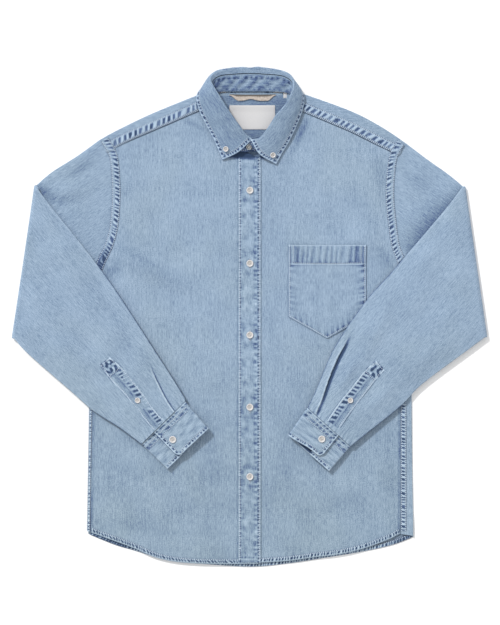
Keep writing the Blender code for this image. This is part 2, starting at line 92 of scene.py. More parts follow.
# Outlines in plan, as (x, y), from the hem towards the collar
ARMHOLE = {
    -1: [(-266.5, 53), (-253, 91), (-239, 121), (-231, 152), (-227.5, 196), (-228.5, 235), (-231, 259),
         (-236, 273), (-248, 292)],
    1: [(266.5, 56), (256.5, 97), (248, 121), (242.5, 160), (239, 200), (241, 240), (246, 266), (258, 287)],
}
SIDE = {
    -1: [(-266, -362), (-263, -220), (-265.5, 47)],
    1: [(270, -362), (268, -219), (266, 50)],
}
SHOULDER_FOLD = {
    -1: [(-248, 292), (-214, 310), (-164, 334), (-98, 361), (-66, 371)],
    1: [(258, 287), (215, 315), (166, 340), (88, 368), (66, 372)],
}
SHOULDER_SEAM = {
    -1: [(-236, 270), (-197, 290), (-148, 311), (-88, 337), (-66, 347)],
    1: [(247, 266), (215, 280.5), (166, 305), (87, 338), (66, 347)],
}
FRONT_NECK = {
    -1: [(15.4, 262), (-5, 272), (-19, 279), (-40, 299), (-58.5, 325), (-66, 346.5)],
    1: [(16, 262), (17.5, 272), (24, 279), (42, 299), (59, 325), (66, 346.5)],
}
BACK_NECK = [(-58, 370), (-42, 369.5), (0, 369.5), (42, 369.5), (58, 370)]
BACK_HEM = [(-270, -356), (-223, -375), (-189, -385), (-148, -398), (-120, -402.5), (-90, -406), (0, -411.5),
            (64, -406), (124, -397), (184, -387), (234, -376), (272, -362)]
FRONT_HEM = {
    -1: [(-262, -355), (-217, -371), (-190, -381), (-148, -398), (-90, -406), (20, -407)],
    1: [(10, -405), (63, -402), (110, -395.5), (141, -392), (172, -386), (203, -376.5), (234, -364.5),
        (249, -357.5), (272, -361)],
}
ELBOW = {-1: [(-354, 216), (-392, -35)], 1: [(355.5, 215), (392, -33)]}
FOREARM_UPPER = {
    -1: [(-354, 216), (-340, 199), (-285.5, 130.5), (-226.5, 53), (-154.5, -57), (-110, -127),
         (-106, -138.5)],
    1: [(355.5, 215), (321, 175.5), (239, 79.5), (191.5, 26), (141, -48.5), (109, -121.5), (95.5, -148.5)],
}
FOREARM_LOWER = {
    -1: [(-392, -35), (-364, -61), (-296, -120.5), (-256.5, -155), (-213.5, -182.5), (-178, -209)],
    1: [(392, -33), (364, -51), (284.5, -110.5), (248.5, -147), (195, -190), (166.5, -213)],
}
CUFF_HEM = {-1: [(-67, -183.5), (-135, -250.5)], 1: [(63.5, -194.5), (131, -254)]}
SLEEVE_PLACKET = {   # upper and lower edges, from the square end to the cuff
    -1: [[(-229.5, -65.5), (-208, -84), (-190, -105.5), (-172.5, -128.5), (-154.5, -153.5), (-141, -169)],
         [(-247, -79.5), (-226, -107), (-208, -125.5), (-181, -159), (-156.5, -189)]],
    1: [[(208, -71), (189, -87.5), (168, -114.5), (148.5, -138), (126.5, -170)],
        [(223, -87.5), (205.5, -107), (186, -132), (168, -155.5), (146, -187)]],
}
GRAIN = {            # direction of the warp in plan, in degrees from +X, of each part of a sleeve
    "upper_arm": {-1: -145.0, 1: -35.0},
    "forearm": {-1: -49.0, 1: -131.0},
}

# The collar, one row for each section, from one end of the stand round the back to the other.
# base: seam of the stand on the neck.  top: seam of the leaf on the stand.  roll: the leaf's crown.
# fall: half way down the leaf.  edge: the leaf's outer edge.  Each is (x, y, z).
COLLAR = [
    # base            top              roll               fall               edge
    ((20, 272, 5.0), (17, 291, 8.0), None, None, None),
    ((2, 273, 5.2), (1, 290, 9.0), (3, 291, 11.5), (-18, 271.5, 11.5), (-45, 258.5, 6.6)),
    ((-12, 277, 5.2), (-10, 299, 11.5), (-10, 302.5, 15.5), (-32, 290, 13), (-52, 276, 6.2)),
    ((-26, 287, 5.2), (-21, 314, 15), (-21, 318, 19.0), (-43, 307, 15), (-61, 296, 6.2)),
    ((-43, 305, 5.2), (-33, 333, 17), (-34, 336, 21.5), (-55, 328, 17), (-72, 317, 6.4)),
    ((-57, 330, 5.4), (-44, 352, 18), (-45.5, 354, 23.0), (-66, 349, 18), (-82, 338, 7.2)),
    ((-62, 352, 6.6), (-54.5, 370, 18), (-58.5, 375, 23.0), (-74, 370, 17.5), (-87.5, 361, 8.6)),
    ((-61, 366, 6.6), (-60.5, 386, 15), (-65.5, 391, 18.0), (-73.5, 385, 11), (-79, 376, 3.2)),
    ((-47, 371, 5.4), (-48, 396, 11.5), (-53, 404.5, 13.0), (-58, 399, 6.5), (-59, 382, 1.2)),
    ((-24, 372, 4.8), (-24, 399, 9.5), (-25, 409.8, 10.0), (-27, 392, 2.4), (-29, 366, 0.75)),
    ((0, 372, 4.6), (0, 400, 9.0), (0, 411, 9.5), (0, 392, 2.0), (0, 363, 0.65)),
    ((24, 372, 4.8), (24, 399, 9.5), (26, 410, 10.0), (28, 392, 2.4), (29, 366, 0.75)),
    ((50, 371, 5.4), (53, 396, 11.5), (57, 403.5, 13.0), (61, 398, 6.5), (62, 382, 1.2)),
    ((66.5, 367, 6.6), (68.5, 386.5, 15), (71.5, 391, 18.0), (77.5, 385, 11), (82, 376, 3.2)),
    ((67.5, 354, 6.6), (69.5, 370, 18), (71.5, 373, 23.0), (81, 370, 17.5), (90, 361, 8.6)),
    ((60, 332, 5.4), (59, 348.5, 18), (61, 350, 23.0), (75, 346, 18), (86, 336, 7.2)),
    ((45, 306, 5.2), (41, 327, 17), (44, 328.5, 21.5), (62, 320, 17), (76.5, 312, 6.4)),
    ((28, 287, 5.8), (29, 306.5, 15), (31, 309, 19.0), (50, 297, 15), (66, 290, 6.2)),
    ((13, 277, 7.0), (16, 291.5, 12.5), (17.5, 293.5, 16.5), (36, 280, 14), (54, 270, 6.4)),
    ((-2, 273, 7.4), (-1, 288, 10.2), (3, 289.5, 13.8), (16, 268, 12.5), (44, 251.5, 6.8)),
    ((-18, 272, 7.4), (-16, 287, 9.6), None, None, None),
]

FRONT_BUTTON_Y = (208.7, 88.3, -29.7, -148.5, -263.0)
# Place of each sleeve button, and the direction of its buttonhole
SLEEVE_BUTTONS = {
    ("cuff", -1): ((-126.2, -201.3), (0.71, -0.70)), ("sleeve", -1): ((-184.0, -137.0), (0.58, -0.81)),
    ("cuff", 1): ((118.8, -200.5), (0.75, 0.66)), ("sleeve", 1): ((165.8, -137.0), (0.58, 0.81)),
}
# Place of each button on the collar's points, and the way it faces
COLLAR_BUTTONS = (
    ("collar_button_right", (-38.8, 276.4, 12.2), (-0.2, -0.15, 1)),
    ("collar_button_left", (38.4, 266.5, 12.2), (0.2, -0.15, 1)),
)

# Soft creases of the body: start, end, bow sideways, half width, height (a trough where negative)
BODY_CREASES = [
    # start         end           bow  width height
    ((-228, 118), (-62, 42), -10, 17, 2.2),
    ((-232, 96), (-88, 22), -8, 22, -1.6),
    ((-236, 60), (-180, 20), 6, 16, 1.6),
    ((-205, 275), (-196, 190), 6, 12, 1.0),
    ((-110, 322), (-80, 302), 2, 10, 1.3),
    ((-96, 210), (-30, 120), 10, 30, 1.2),
    ((-210, -20), (-150, -70), 4, 26, 1.3),
    ((-90, -60), (-40, -160), -8, 30, 1.0),
    ((-225, -240), (-120, -290), 8, 32, 1.4),
    ((-120, -210), (-60, -330), 10, 34, 1.2),
    ((60, 215), (140, 180), -8, 30, 1.2),
    ((195, 255), (212, 190), -5, 13, 1.0),
    ((216, 150), (150, 128), 6, 18, 1.3),
    ((40, 60), (55, -60), 6, 24, 1.0),
    ((60, -270), (170, -310), -10, 34, 1.4),
    ((120, -215), (205, -260), 6, 26, -1.0),
    ((30, -150), (60, -250), 6, 26, 1.0),
]


# ---------------------------------------------------------------- curves and noise
def smooth(value):
    """Soft step from 0 to 1."""
    value = np.clip(value, 0.0, 1.0)
    return value * value * (3.0 - 2.0 * value)


def bump(distance, width):
    """A soft hump, 1 at distance 0."""
    return np.exp(-(distance / width) ** 2)


def x_at(outline, y):
    points = sorted(outline, key=lambda point: point[1])
    return np.interp(y, [point[1] for point in points], [point[0] for point in points])


def y_at(outline, x):
    points = sorted(outline)
    return np.interp(x, [point[0] for point in points], [point[1] for point in points])


def spline(points, count):
    """Points on a smooth curve through the given ones, which are close to evenly spaced."""
    points = np.array(points, float)
    padded = np.vstack([2 * points[0] - points[1], points, 2 * points[-1] - points[-2]])
    values = np.linspace(0, len(points) - 1, count)
    index = np.minimum(values.astype(int), len(points) - 2)
    t = (values - index)[:, None]
    a, b, c, d = (padded[index + shift] for shift in range(4))
    return 0.5 * (2 * b + (c - a) * t + (2 * a - 5 * b + 4 * c - d) * t ** 2
                  + (3 * b - a - 3 * c + d) * t ** 3)


def points_of(*fields):
    """Coordinates joined into points, spread to one shape."""
    return np.stack(np.broadcast_arrays(*fields), axis=-1)


def walked(points):
    """Length walked along a line of points, at each point."""
    return np.concatenate([[0.0], np.cumsum(np.linalg.norm(np.diff(points, axis=0), axis=1))])


def walked_rows(grid):
    """Length walked along each row of a grid, at each point."""
    steps = np.linalg.norm(np.diff(grid, axis=1), axis=2)
    return np.concatenate([np.zeros((len(grid), 1)), np.cumsum(steps, axis=1)], axis=1)


def along(points, shares):
    """Points at shares of a line's length."""
    points = np.array(points, float)
    length = walked(points)
    shares = np.asarray(shares, float) * length[-1]
    return points_of(*(np.interp(shares, length, points[:, axis]) for axis in range(points.shape[1])))


def soft(outline, step=3.0):
    """An outline as a smooth line with a point every step millimetres."""
    fine = spline(outline, 40 * len(outline))
    count = max(3, int(walked(fine)[-1] / step))
    return along(fine, np.linspace(0, 1, count))


def waves(x, y, size, seed):
    """Soft unevenness of about that size over a surface, from -1 to 1."""
    random = np.random.default_rng(seed)
    total = 0.0
    for _ in range(6):
        angle, phase = random.uniform(0, math.tau), random.uniform(0, math.tau)
        length = size * random.uniform(0.7, 1.5)
        total = total + np.sin((x * math.cos(angle) + y * math.sin(angle)) * math.tau / length + phase)
    return total / 3.4


def drift(s, size, seed):
    """Soft unevenness along a line, from -1 to 1."""
    return waves(s, 0.0 * s, size, seed)


def puckers(s, t, pitch, seed, skew=0.0):
    """Uneven ridges across a seam, 1 on a crest and 0 between.  s runs along it and t across."""
    phase = (s + skew * t) / pitch + 0.40 * drift(s, pitch * 4.1, seed)
    phase = phase + 0.12 * drift(s, pitch * 1.7, seed + 1)
    return 0.5 + 0.5 * np.cos(math.tau * phase)


def patches(crest, s, pitch, seed, cover=0.54):
    """The dark patches between the ridges, partly unfaded cloth and partly painted shade in the troughs, 1
    at their darkest, and weaker here and there.
    """
    strength = 0.78 + 0.30 * drift(s, pitch * 2.7, seed + 3)
    return smooth((cover - crest) / 0.40 + 0.5) * strength


def line_distance(x, y, line):
    """Distance from each (x, y) to a line of points, and the share of its length at the nearest place."""
    line = np.asarray(line, float)
    starts, steps = line[:-1], np.diff(line, axis=0)
    lengths = np.linalg.norm(steps, axis=1)
    walk = walked(line)
    best = np.full(x.shape, 1e9)
    share = np.zeros(x.shape)
    for (sx, sy), (dx, dy), length, start in zip(starts, steps, lengths, walk):
        t = np.clip(((x - sx) * dx + (y - sy) * dy) / max(length ** 2, 1e-9), 0, 1)
        distance = np.hypot(x - sx - t * dx, y - sy - t * dy)
        nearer = distance < best
        best = np.where(nearer, distance, best)
        share = np.where(nearer, (start + t * length) / walk[-1], share)
    return best, share


def crease_heights(x, y, creases):
    """How far the creases of a table lift each (x, y)."""
    total = np.zeros(np.shape(x))
    for start, end, bow, width, height in creases:
        start, end = np.array(start, float), np.array(end, float)
        run = end - start
        side = np.array([-run[1], run[0]]) / np.linalg.norm(run)
        line = [start + run * t + side * bow * math.sin(math.pi * t) for t in np.linspace(0, 1, 9)]
        distance, share = line_distance(x, y, line)
        fade = np.sin(math.pi * np.clip(0.06 + 0.88 * share, 0, 1)) ** 0.8
        total += height * fade * bump(distance, width * (0.8 + 0.4 * share))
    return total


# ---------------------------------------------------------------- heights of the laid body
def neck_lift(x, y):
    return NECK_RISE * smooth((y - 336.0) / 18.0) * smooth((112.0 - np.abs(x)) / 30.0)


def lie(x, y):
    """How far the front rises off the back: broad unevenness and creases, none at the side and
    shoulder seams, and a hem that stands a little open."""
    x, y = np.asarray(x, float), np.asarray(y, float)
    inset = np.minimum(250.0 - np.abs(x), 300.0 - y)
    broad = 0.9 * (1.0 + waves(x, y, 150.0, 11)) + 0.35 * (1.0 + waves(x, y, 62.0, 12))
    fade = smooth((y + 400.0) / 60.0)
    open_hem = 2.3 * (1 - smooth((y + 385.0) / 60.0)) * smooth((252.0 - np.abs(x)) / 25.0)
    raised = np.maximum(broad + crease_heights(x, y, BODY_CREASES), 0.0)
    return smooth(inset / 45.0) * fade * raised + open_hem


def hem_opening(row, on_left):
    """How far the wrapped side edges stand open near the hem, in layers, more on the wearer's left."""
    return smooth((-325.0 - row) / 70.0) * np.where(on_left, 1.3, 0.5)


def front_height(x, y, layer=1):
    """Middle of a layer of the front."""
    return LEVEL[layer] + neck_lift(x, y) + lie(x, y)


# ---------------------------------------------------------------- meshes
def normals_of(grid, ring=False):
    across = np.gradient(grid, axis=0)
    if ring:
        round_ = np.roll(grid, -1, axis=1) - np.roll(grid, 1, axis=1)
    else:
        round_ = np.gradient(grid, axis=1)
    normal = np.cross(round_, across)
    return normal / np.maximum(np.linalg.norm(normal, axis=2, keepdims=True), 1e-9)


def write_mesh(name, points, faces, finish, grain=None, wear=None, inner=None, smooth_angle=60):
    """A mesh object from points in millimetres, with its grain map, and its wear and painted shading."""
    data = bpy.data.meshes.new(name)
    data.from_pydata((np.asarray(points) * MM).tolist(), [], faces)
    if grain is not None:
        layer = data.uv_layers.new(name="grain")
        corners = np.empty(len(data.loops), dtype=np.int32)
        data.loops.foreach_get("vertex_index", corners)
        layer.data.foreach_set("uv", (np.asarray(grain)[corners] * MM).astype(np.float32).ravel())
    for word, values in (("wear", wear), ("inner", inner)):
        if values is not None:
            layer = data.attributes.new(word, "FLOAT", "POINT")
            layer.data.foreach_set("value", np.asarray(values, np.float32).ravel())
    data.materials.append(finish)
    data.validate()
    data.shade_smooth()
    data.set_sharp_from_angle(angle=math.radians(smooth_angle))
    made = bpy.data.objects.new(name, data)
    bpy.context.scene.collection.objects.link(made)
    return made


class Cloth:
    """A piece of cloth: a grid of points in its middle, its flat pattern, and its wear and painted shading.
    """

    def __init__(self, grid, grain, wear=None, wall=CLOTH, ring=False, up=None, lined=True):
        """up is the way its right side faces, or None where that is away from the middle of a tube.
        A lined piece has its right side out on both faces."""
        self.grid = np.array(grid, float)
        self.grain = np.broadcast_to(np.array(grain, float), (*self.grid.shape[:2], 2)).copy()
        self.wear = np.zeros(self.grid.shape[:2]) if wear is None else np.array(wear, float)
        self.wall, self.ring, self.lined = wall, ring, lined
        self.normal = normals_of(self.grid, ring)
        towards = self.grid - self.grid.mean(axis=1, keepdims=True) if up is None else np.array(up, float)
        if (self.normal * towards).sum(axis=2).mean() < 0:
            self.normal = -self.normal

    def face(self, row, column, lift):
        """A place on the outer face, at a row and column that may lie between the grid's own."""
        rows, columns = self.grid.shape[:2]
        row, column = min(max(row, 0), rows - 1.001), min(max(column, 0), columns - 1.001)
        r, c = int(row), int(column)
        a, b = row - r, column - c
        found = []
        for field in (self.grid, self.normal):
            found.append((field[r, c] * (1 - a) + field[r + 1, c] * a) * (1 - b)
                         + (field[r, c + 1] * (1 - a) + field[r + 1, c + 1] * a) * b)
        normal = found[1] / np.linalg.norm(found[1])
        return found[0] + normal * (self.wall / 2 + lift), normal

    def beside(self, edge, distance, trim, reach=None):
        """(row, column) places of a line that runs beside an edge of the grid, short of its ends."""
        down = edge in ("near", "far")
        grid = self.grid if down else self.grid.transpose(1, 0, 2)
        across = walked_rows(grid)
        far = edge in ("far", "last")
        run = walked(grid[:, -1 if far else 0])
        columns = np.arange(grid.shape[1])
        places = []
        for index, along_edge in enumerate(run):
            if not trim <= along_edge <= (run[-1] - trim if reach is None else reach):
                continue
            inset = across[index, -1] - distance if far else distance
            column = float(np.interp(inset, across[index], columns))
            places.append((index, column) if down else (column, index))
        return places

    def build(self, name, finish):
        rows, columns = self.grid.shape[:2]
        outer = self.grid + self.normal * self.wall / 2
        inner = self.grid - self.normal * self.wall / 2
        points = np.concatenate([outer.reshape(-1, 3), inner.reshape(-1, 3)])
        back = rows * columns
        index = np.arange(back).reshape(rows, columns)
        if self.ring:
            nearer, further = index, np.roll(index, -1, axis=1)
        else:
            nearer, further = index[:, :-1], index[:, 1:]
        quads = np.stack([nearer[:-1], further[:-1], further[1:], nearer[1:]], axis=-1).reshape(-1, 4)
        faces = [quads, quads[:, ::-1] + back]
        ends = [(nearer[0], further[0], False), (nearer[-1], further[-1], True)]
        for near, far, turn in ends:
            rim = np.stack([near, near + back, far + back, far], axis=-1)
            faces.append(rim[:, ::-1] if turn else rim)
        if not self.ring:
            for column, turn in ((index[:, 0], True), (index[:, -1], False)):
                rim = np.stack([column[:-1], column[:-1] + back, column[1:] + back, column[1:]], axis=-1)
                faces.append(rim[:, ::-1] if turn else rim)
        grain = np.concatenate([self.grain.reshape(-1, 2)] * 2)
        wear = np.concatenate([self.wear.reshape(-1)] * 2)
        inner_side = np.concatenate([np.zeros(back), np.full(back, 0.0 if self.lined else 1.0)])
        made = write_mesh(name, points, np.concatenate(faces).tolist(), finish, grain, wear, inner_side)
        face_outward(made)
        return made


def laid(x, y, z, wear, **form):
    """Cloth that lies right side up with its warp along Y."""
    return Cloth(points_of(x, y, z), points_of(x, y), wear, up=UP, **form)


def face_outward(piece):
    mesh = bmesh.new()
    mesh.from_mesh(piece.data)
    if mesh.calc_volume(signed=True) < 0:
        bmesh.ops.reverse_faces(mesh, faces=mesh.faces)
        mesh.to_mesh(piece.data)
    mesh.free()


# ---------------------------------------------------------------- shaders
class Socket:
    """An output of a shader node, which can be used in plain arithmetic."""

    def __init__(self, shader, output):
        self.shader, self.output = shader, output

    def maths(self, operation, first, second):
        return self.shader.node("ShaderNodeMath", {"operation": operation}, {0: first, 1: second})

    def __add__(self, other):
        return self.maths("ADD", self, other)

    def __sub__(self, other):
        return self.maths("SUBTRACT", self, other)

    def __mul__(self, other):
        return self.maths("MULTIPLY", self, other)

    def __rsub__(self, other):
        return self.maths("SUBTRACT", other, self)

    __radd__, __rmul__ = __add__, __mul__

    def step(self, low, high):
        """0 below low, 1 above high, and soft between."""
        return self.shader.node("ShaderNodeMapRange", {"interpolation_type": "SMOOTHSTEP"},
                                {"Value": self, "From Min": low, "From Max": high})


class Shader:
    """A material under construction."""

    def __init__(self, name):
        self.material = bpy.data.materials.new(name)
        self.material.use_nodes = True
        self.tree = self.material.node_tree
        self.surface = self.tree.nodes["Principled BSDF"]

    def node(self, kind, settings=None, values=None, output=0):
        """Adds a node: its settings first, then the values or links of its sockets."""
        made = self.tree.nodes.new(kind)
        for name, value in (settings or {}).items():
            if name == "stops":
                ramp = made.color_ramp
                for place, colour in value[2:]:
                    ramp.elements.new(place)
                for element, (place, colour) in zip(ramp.elements, sorted(value)):
                    element.position, element.color = place, (*colour, 1.0)
            else:
                setattr(made, name, value)
        self.fill(made, values or {})
        return Socket(self, made.outputs[output])

    def fill(self, made, values):
        for name, value in values.items():
            socket = made.inputs[name]
            if isinstance(value, Socket):
                self.tree.links.new(value.output, socket)
            else:
                socket.default_value = value

    def noise(self, where, stretch, detail):
        """Noise in a map, with its size in millimetres along each of the map's directions."""
        scaled = self.node("ShaderNodeMapping", {"vector_type": "POINT"},
                           {"Vector": where, "Scale": tuple(1.0 / (size * MM) for size in stretch) + (1.0,)})
        return self.node("ShaderNodeTexNoise", {"noise_dimensions": "2D"},
                         {"Vector": scaled, "Scale": 1.0, "Detail": detail})

    def attribute(self, name):
        return self.node("ShaderNodeAttribute", {"attribute_name": name}, output="Fac")

    def ramp(self, value, *stops):
        return self.node("ShaderNodeValToRGB", {"stops": stops}, {"Fac": value})

    def mix(self, factor, first, second, blend="MIX"):
        return self.node("ShaderNodeMix", {"data_type": "RGBA", "blend_type": blend},
                         {"Factor": factor, "A": first, "B": second}, output=2)

    def relief(self, height, strength, distance):
        return self.node("ShaderNodeBump", {},
                         {"Strength": strength, "Distance": distance, "Height": height})

    def finish(self, **sockets):
        self.fill(self.surface, {name.replace("_", " "): value for name, value in sockets.items()})
        return self.material


UNFADED = (0.030, 0.058, 0.122)
BARELY_WASHED = (0.074, 0.118, 0.248)
HALF_WASHED = (0.172, 0.249, 0.352)
WASHED = (0.243, 0.330, 0.444)
RUBBED = (0.470, 0.590, 0.720)
INSIDE = (0.215, 0.285, 0.365)
GREYED = (1.0, 0.975, 0.895)
DISH_SHADE = (0.74, 0.73, 0.71)         # painted shade of a button's dished middle


def denim(name):
    """Washed twill: slubs and fade along the warp, fine diagonal twill, and wear and painted shading from
    the mesh.
    """
    shader = Shader(name)
    grain = shader.node("ShaderNodeUVMap", {"uv_map": "grain"})
    wear, inner = shader.attribute("wear"), shader.attribute("inner")
    slubs = shader.noise(grain, (1.4, 60.0), detail=1.0)
    threads = shader.noise(grain, (1.1, 9.0), detail=1.0)
    specks = shader.noise(grain, (1.2, 1.7), detail=1.0)
    mottle = shader.noise(grain, (8.0, 13.0), detail=2.0)
    clouds = shader.noise(grain, (60.0, 80.0), detail=2.0)
    # the mesh's wear moves the colour towards UNFADED or RUBBED: real fading and rubbing, and painted shade
    # and light
    fade = (0.5 + (slubs - 0.5) * 0.21 + (threads - 0.5) * 0.38 + (specks - 0.5) * 0.44
            + (mottle - 0.5) * 0.06 + (clouds - 0.5) * 0.08 + wear * 0.5)
    colour = shader.ramp(fade, (0.0, UNFADED), (1.0, RUBBED), (0.2, BARELY_WASHED), (0.38, HALF_WASHED),
                         (0.5, WASHED))
    cast = shader.noise(grain, (110.0, 140.0), detail=2.0)
    place = shader.node("ShaderNodeTexCoord", output="Object")
    height = shader.node("ShaderNodeSeparateXYZ", {}, {"Vector": place}, output=1)
    greyed = shader.mix(1.0, colour, (*GREYED, 1.0), "MULTIPLY")
    amount = cast.step(0.40, 0.75) * 0.35 + (0.10 - height * 1.5).step(0.0, 0.7) * 0.65
    colour = shader.mix(amount, colour, greyed)
    reverse = shader.mix(0.65, colour, (*INSIDE, 1.0))
    colour = shader.mix(inner.step(0.35, 0.65), colour, reverse)
    turned = shader.node("ShaderNodeMapping", {"vector_type": "POINT"},
                         {"Vector": grain, "Rotation": (0.0, 0.0, math.radians(28)),
                          "Scale": (1 / (1.1 * MM), 1 / (1.1 * MM), 1.0)})
    twill = shader.node("ShaderNodeTexWave", {"wave_type": "BANDS", "bands_direction": "X"},
                        {"Vector": turned, "Scale": 0.32, "Distortion": 0.6, "Detail": 1.0})
    raised = twill * 0.5 + slubs * 0.4 + threads * 0.8 + specks * 0.7
    normal = shader.relief(raised, 0.6, 0.00035)
    return shader.finish(Base_Color=colour, Normal=normal, Roughness=0.88, Specular_IOR_Level=0.25,
                         Sheen_Weight=0.12, Sheen_Roughness=0.5)


def thread(name, colour):
    """Twisted sewing thread."""
    shader = Shader(name)
    where = shader.node("ShaderNodeTexCoord", output="Object")
    tint = shader.node("ShaderNodeTexNoise", {}, {"Vector": where, "Scale": 900.0, "Detail": 2.0})
    shades = shader.ramp(tint, (0.25, tuple(0.62 * part for part in colour)), (0.7, colour))
    return shader.finish(Base_Color=shades, Roughness=0.7)


def woven(name, colour, pitch, depth):
    """A plain woven label or tape: fine ribs across, with a herringbone where pitch is wide."""
    shader = Shader(name)
    grain = shader.node("ShaderNodeUVMap", {"uv_map": "grain"})
    rib = shader.noise(grain, (pitch, pitch * 6), detail=2.0)
    pick = shader.noise(grain, (pitch * 6, pitch), detail=2.0)
    shade = rib * 0.5 + pick * 0.5 + shader.attribute("wear") * 0.5
    colours = shader.ramp(shade, (0.2, tuple(part * (1 - depth) for part in colour)), (0.8, colour))
    normal = shader.relief(shade, 0.4, 0.0002)
    return shader.finish(Base_Color=colours, Normal=normal, Roughness=0.85)


def button_shell(name, colour):
    """Pearly off-white resin, with a faint swirl and painted shade in its dished middle."""
    shader = Shader(name)
    where = shader.node("ShaderNodeTexCoord", output="Object")
    swirl = shader.node("ShaderNodeTexNoise", {},
                        {"Vector": where, "Scale": 260.0, "Detail": 3.0, "Distortion": 1.5})
    colours = shader.ramp(swirl, (0.3, tuple(0.86 * part for part in colour)), (0.7, colour))
    colours = shader.mix(shader.attribute("dish"), colours, (*DISH_SHADE, 1.0), "MULTIPLY")
    return shader.finish(Base_Color=colours, Roughness=0.32, Coat_Weight=0.3)


# ---------------------------------------------------------------- stitches
PIT_SIDES = 5
STITCH_LIFT = 0.06          # how far stitches stand off the cloth's face
# A stitch's thread from end to end: share of its length, rise in thread widths, share of its radius
STITCH_RINGS = [(0.0, -0.30, 0.5), (0.28, 0.20, 1.0), (0.72, 0.20, 1.0), (1.0, -0.30, 0.5)]


class Stitching:
    """Gathers stitches as one mesh of short threads that dip into the cloth at both ends, and the dark
    needle pits between them, painted shade of each needle hole and unfaded cloth round it, as another."""

    def __init__(self, radius=0.52):
        self.points, self.faces = [], []
        self.pit_points, self.pit_faces = [], []
        self.radius = radius

    @staticmethod
    def pressed(place, up):
        """Whether a place lies under the shirt, against the floor, where stitches are left out."""
        return up[2] < 0 and place[2] < LAYER - SEAM

    def one(self, start, end, up):
        run = end - start
        length = np.linalg.norm(run)
        if length < 0.2 or self.pressed(start, up):
            return
        side = np.cross(up, run / length)
        side /= np.linalg.norm(side)
        first = len(self.points)
        for share, rise, girth in STITCH_RINGS:
            centre = start + run * share + up * rise * self.radius * 2
            for across, high in ((-1, 0), (0, 1), (1, 0), (0, -1)):
                self.points.append(centre + (side * across * 1.15 + up * high) * self.radius * girth)
        for ring in range(len(STITCH_RINGS) - 1):
            base = first + ring * 4
            for corner in range(4):
                other = (corner + 1) % 4
                self.faces.append((base + corner, base + other, base + 4 + other, base + 4 + corner))
        last = first + 4 * (len(STITCH_RINGS) - 1)
        self.faces.append((first + 3, first + 2, first + 1, first))
        self.faces.append((last, last + 1, last + 2, last + 3))

    def pit(self, centre, ahead, up, size):
        """A small dark dimple, as a shallow closed cap: painted shade of a needle hole."""
        if self.pressed(centre, up):
            return
        ahead = ahead / np.linalg.norm(ahead)
        side = np.cross(up, ahead)
        first = len(self.pit_points)
        for k in range(PIT_SIDES):
            turn = math.tau * k / PIT_SIDES
            self.pit_points.append(centre + (ahead * math.cos(turn) * 0.8 + side * math.sin(turn)) * size)
        self.pit_points.append(centre + up * 0.12)
        self.pit_points.append(centre - up * 0.35)
        for k in range(PIT_SIDES):
            other = (k + 1) % PIT_SIDES
            self.pit_faces.append((first + k, first + other, first + PIT_SIDES))
            self.pit_faces.append((first + other, first + k, first + PIT_SIDES + 1))

    def run(self, line, ups, length=1.8, pitch=3.1, pits=1.0):
        """A row of stitches along a line of points, each with its own upward direction."""
        line, ups = np.array(line, float), np.array(ups, float)
        walk = walked(line)
        at = 0.8
        while at + length < walk[-1]:
            ends = [np.array([np.interp(place, walk, line[:, axis]) for axis in range(3)])
                    for place in (at, at + length, at + (length + pitch) / 2)]
            up = np.array([np.interp(at + length / 2, walk, ups[:, axis]) for axis in range(3)])
            up /= np.linalg.norm(up)
            self.one(ends[0], ends[1], up)
            if pits:
                self.pit(ends[2], ends[1] - ends[0], up, pits)
            at += pitch

    def on(self, cloth, path, **spacing):
        """A row of stitches on a piece of cloth, along (row, column) places of its grid."""
        if len(path) < 3:
            return
        found = [cloth.face(row, column, STITCH_LIFT) for row, column in path]
        self.run([point for point, _ in found], [normal for _, normal in found], **spacing)

    def build(self, name, finish):
        made = write_mesh(name, np.array(self.points), self.faces, finish, smooth_angle=80)
        face_outward(made)
        return made

    def build_pits(self, name, finish):
        wear = np.full(len(self.pit_points), -1.0)
        grain = np.array(self.pit_points)[:, :2]
        return write_mesh(name, np.array(self.pit_points), self.pit_faces, finish, grain, wear, 0 * wear)


# ---------------------------------------------------------------- bands on the body
def plan_normals(line):
    run = np.gradient(line, axis=0)
    run /= np.linalg.norm(run, axis=1, keepdims=True)
    return points_of(-run[:, 1], run[:, 0])


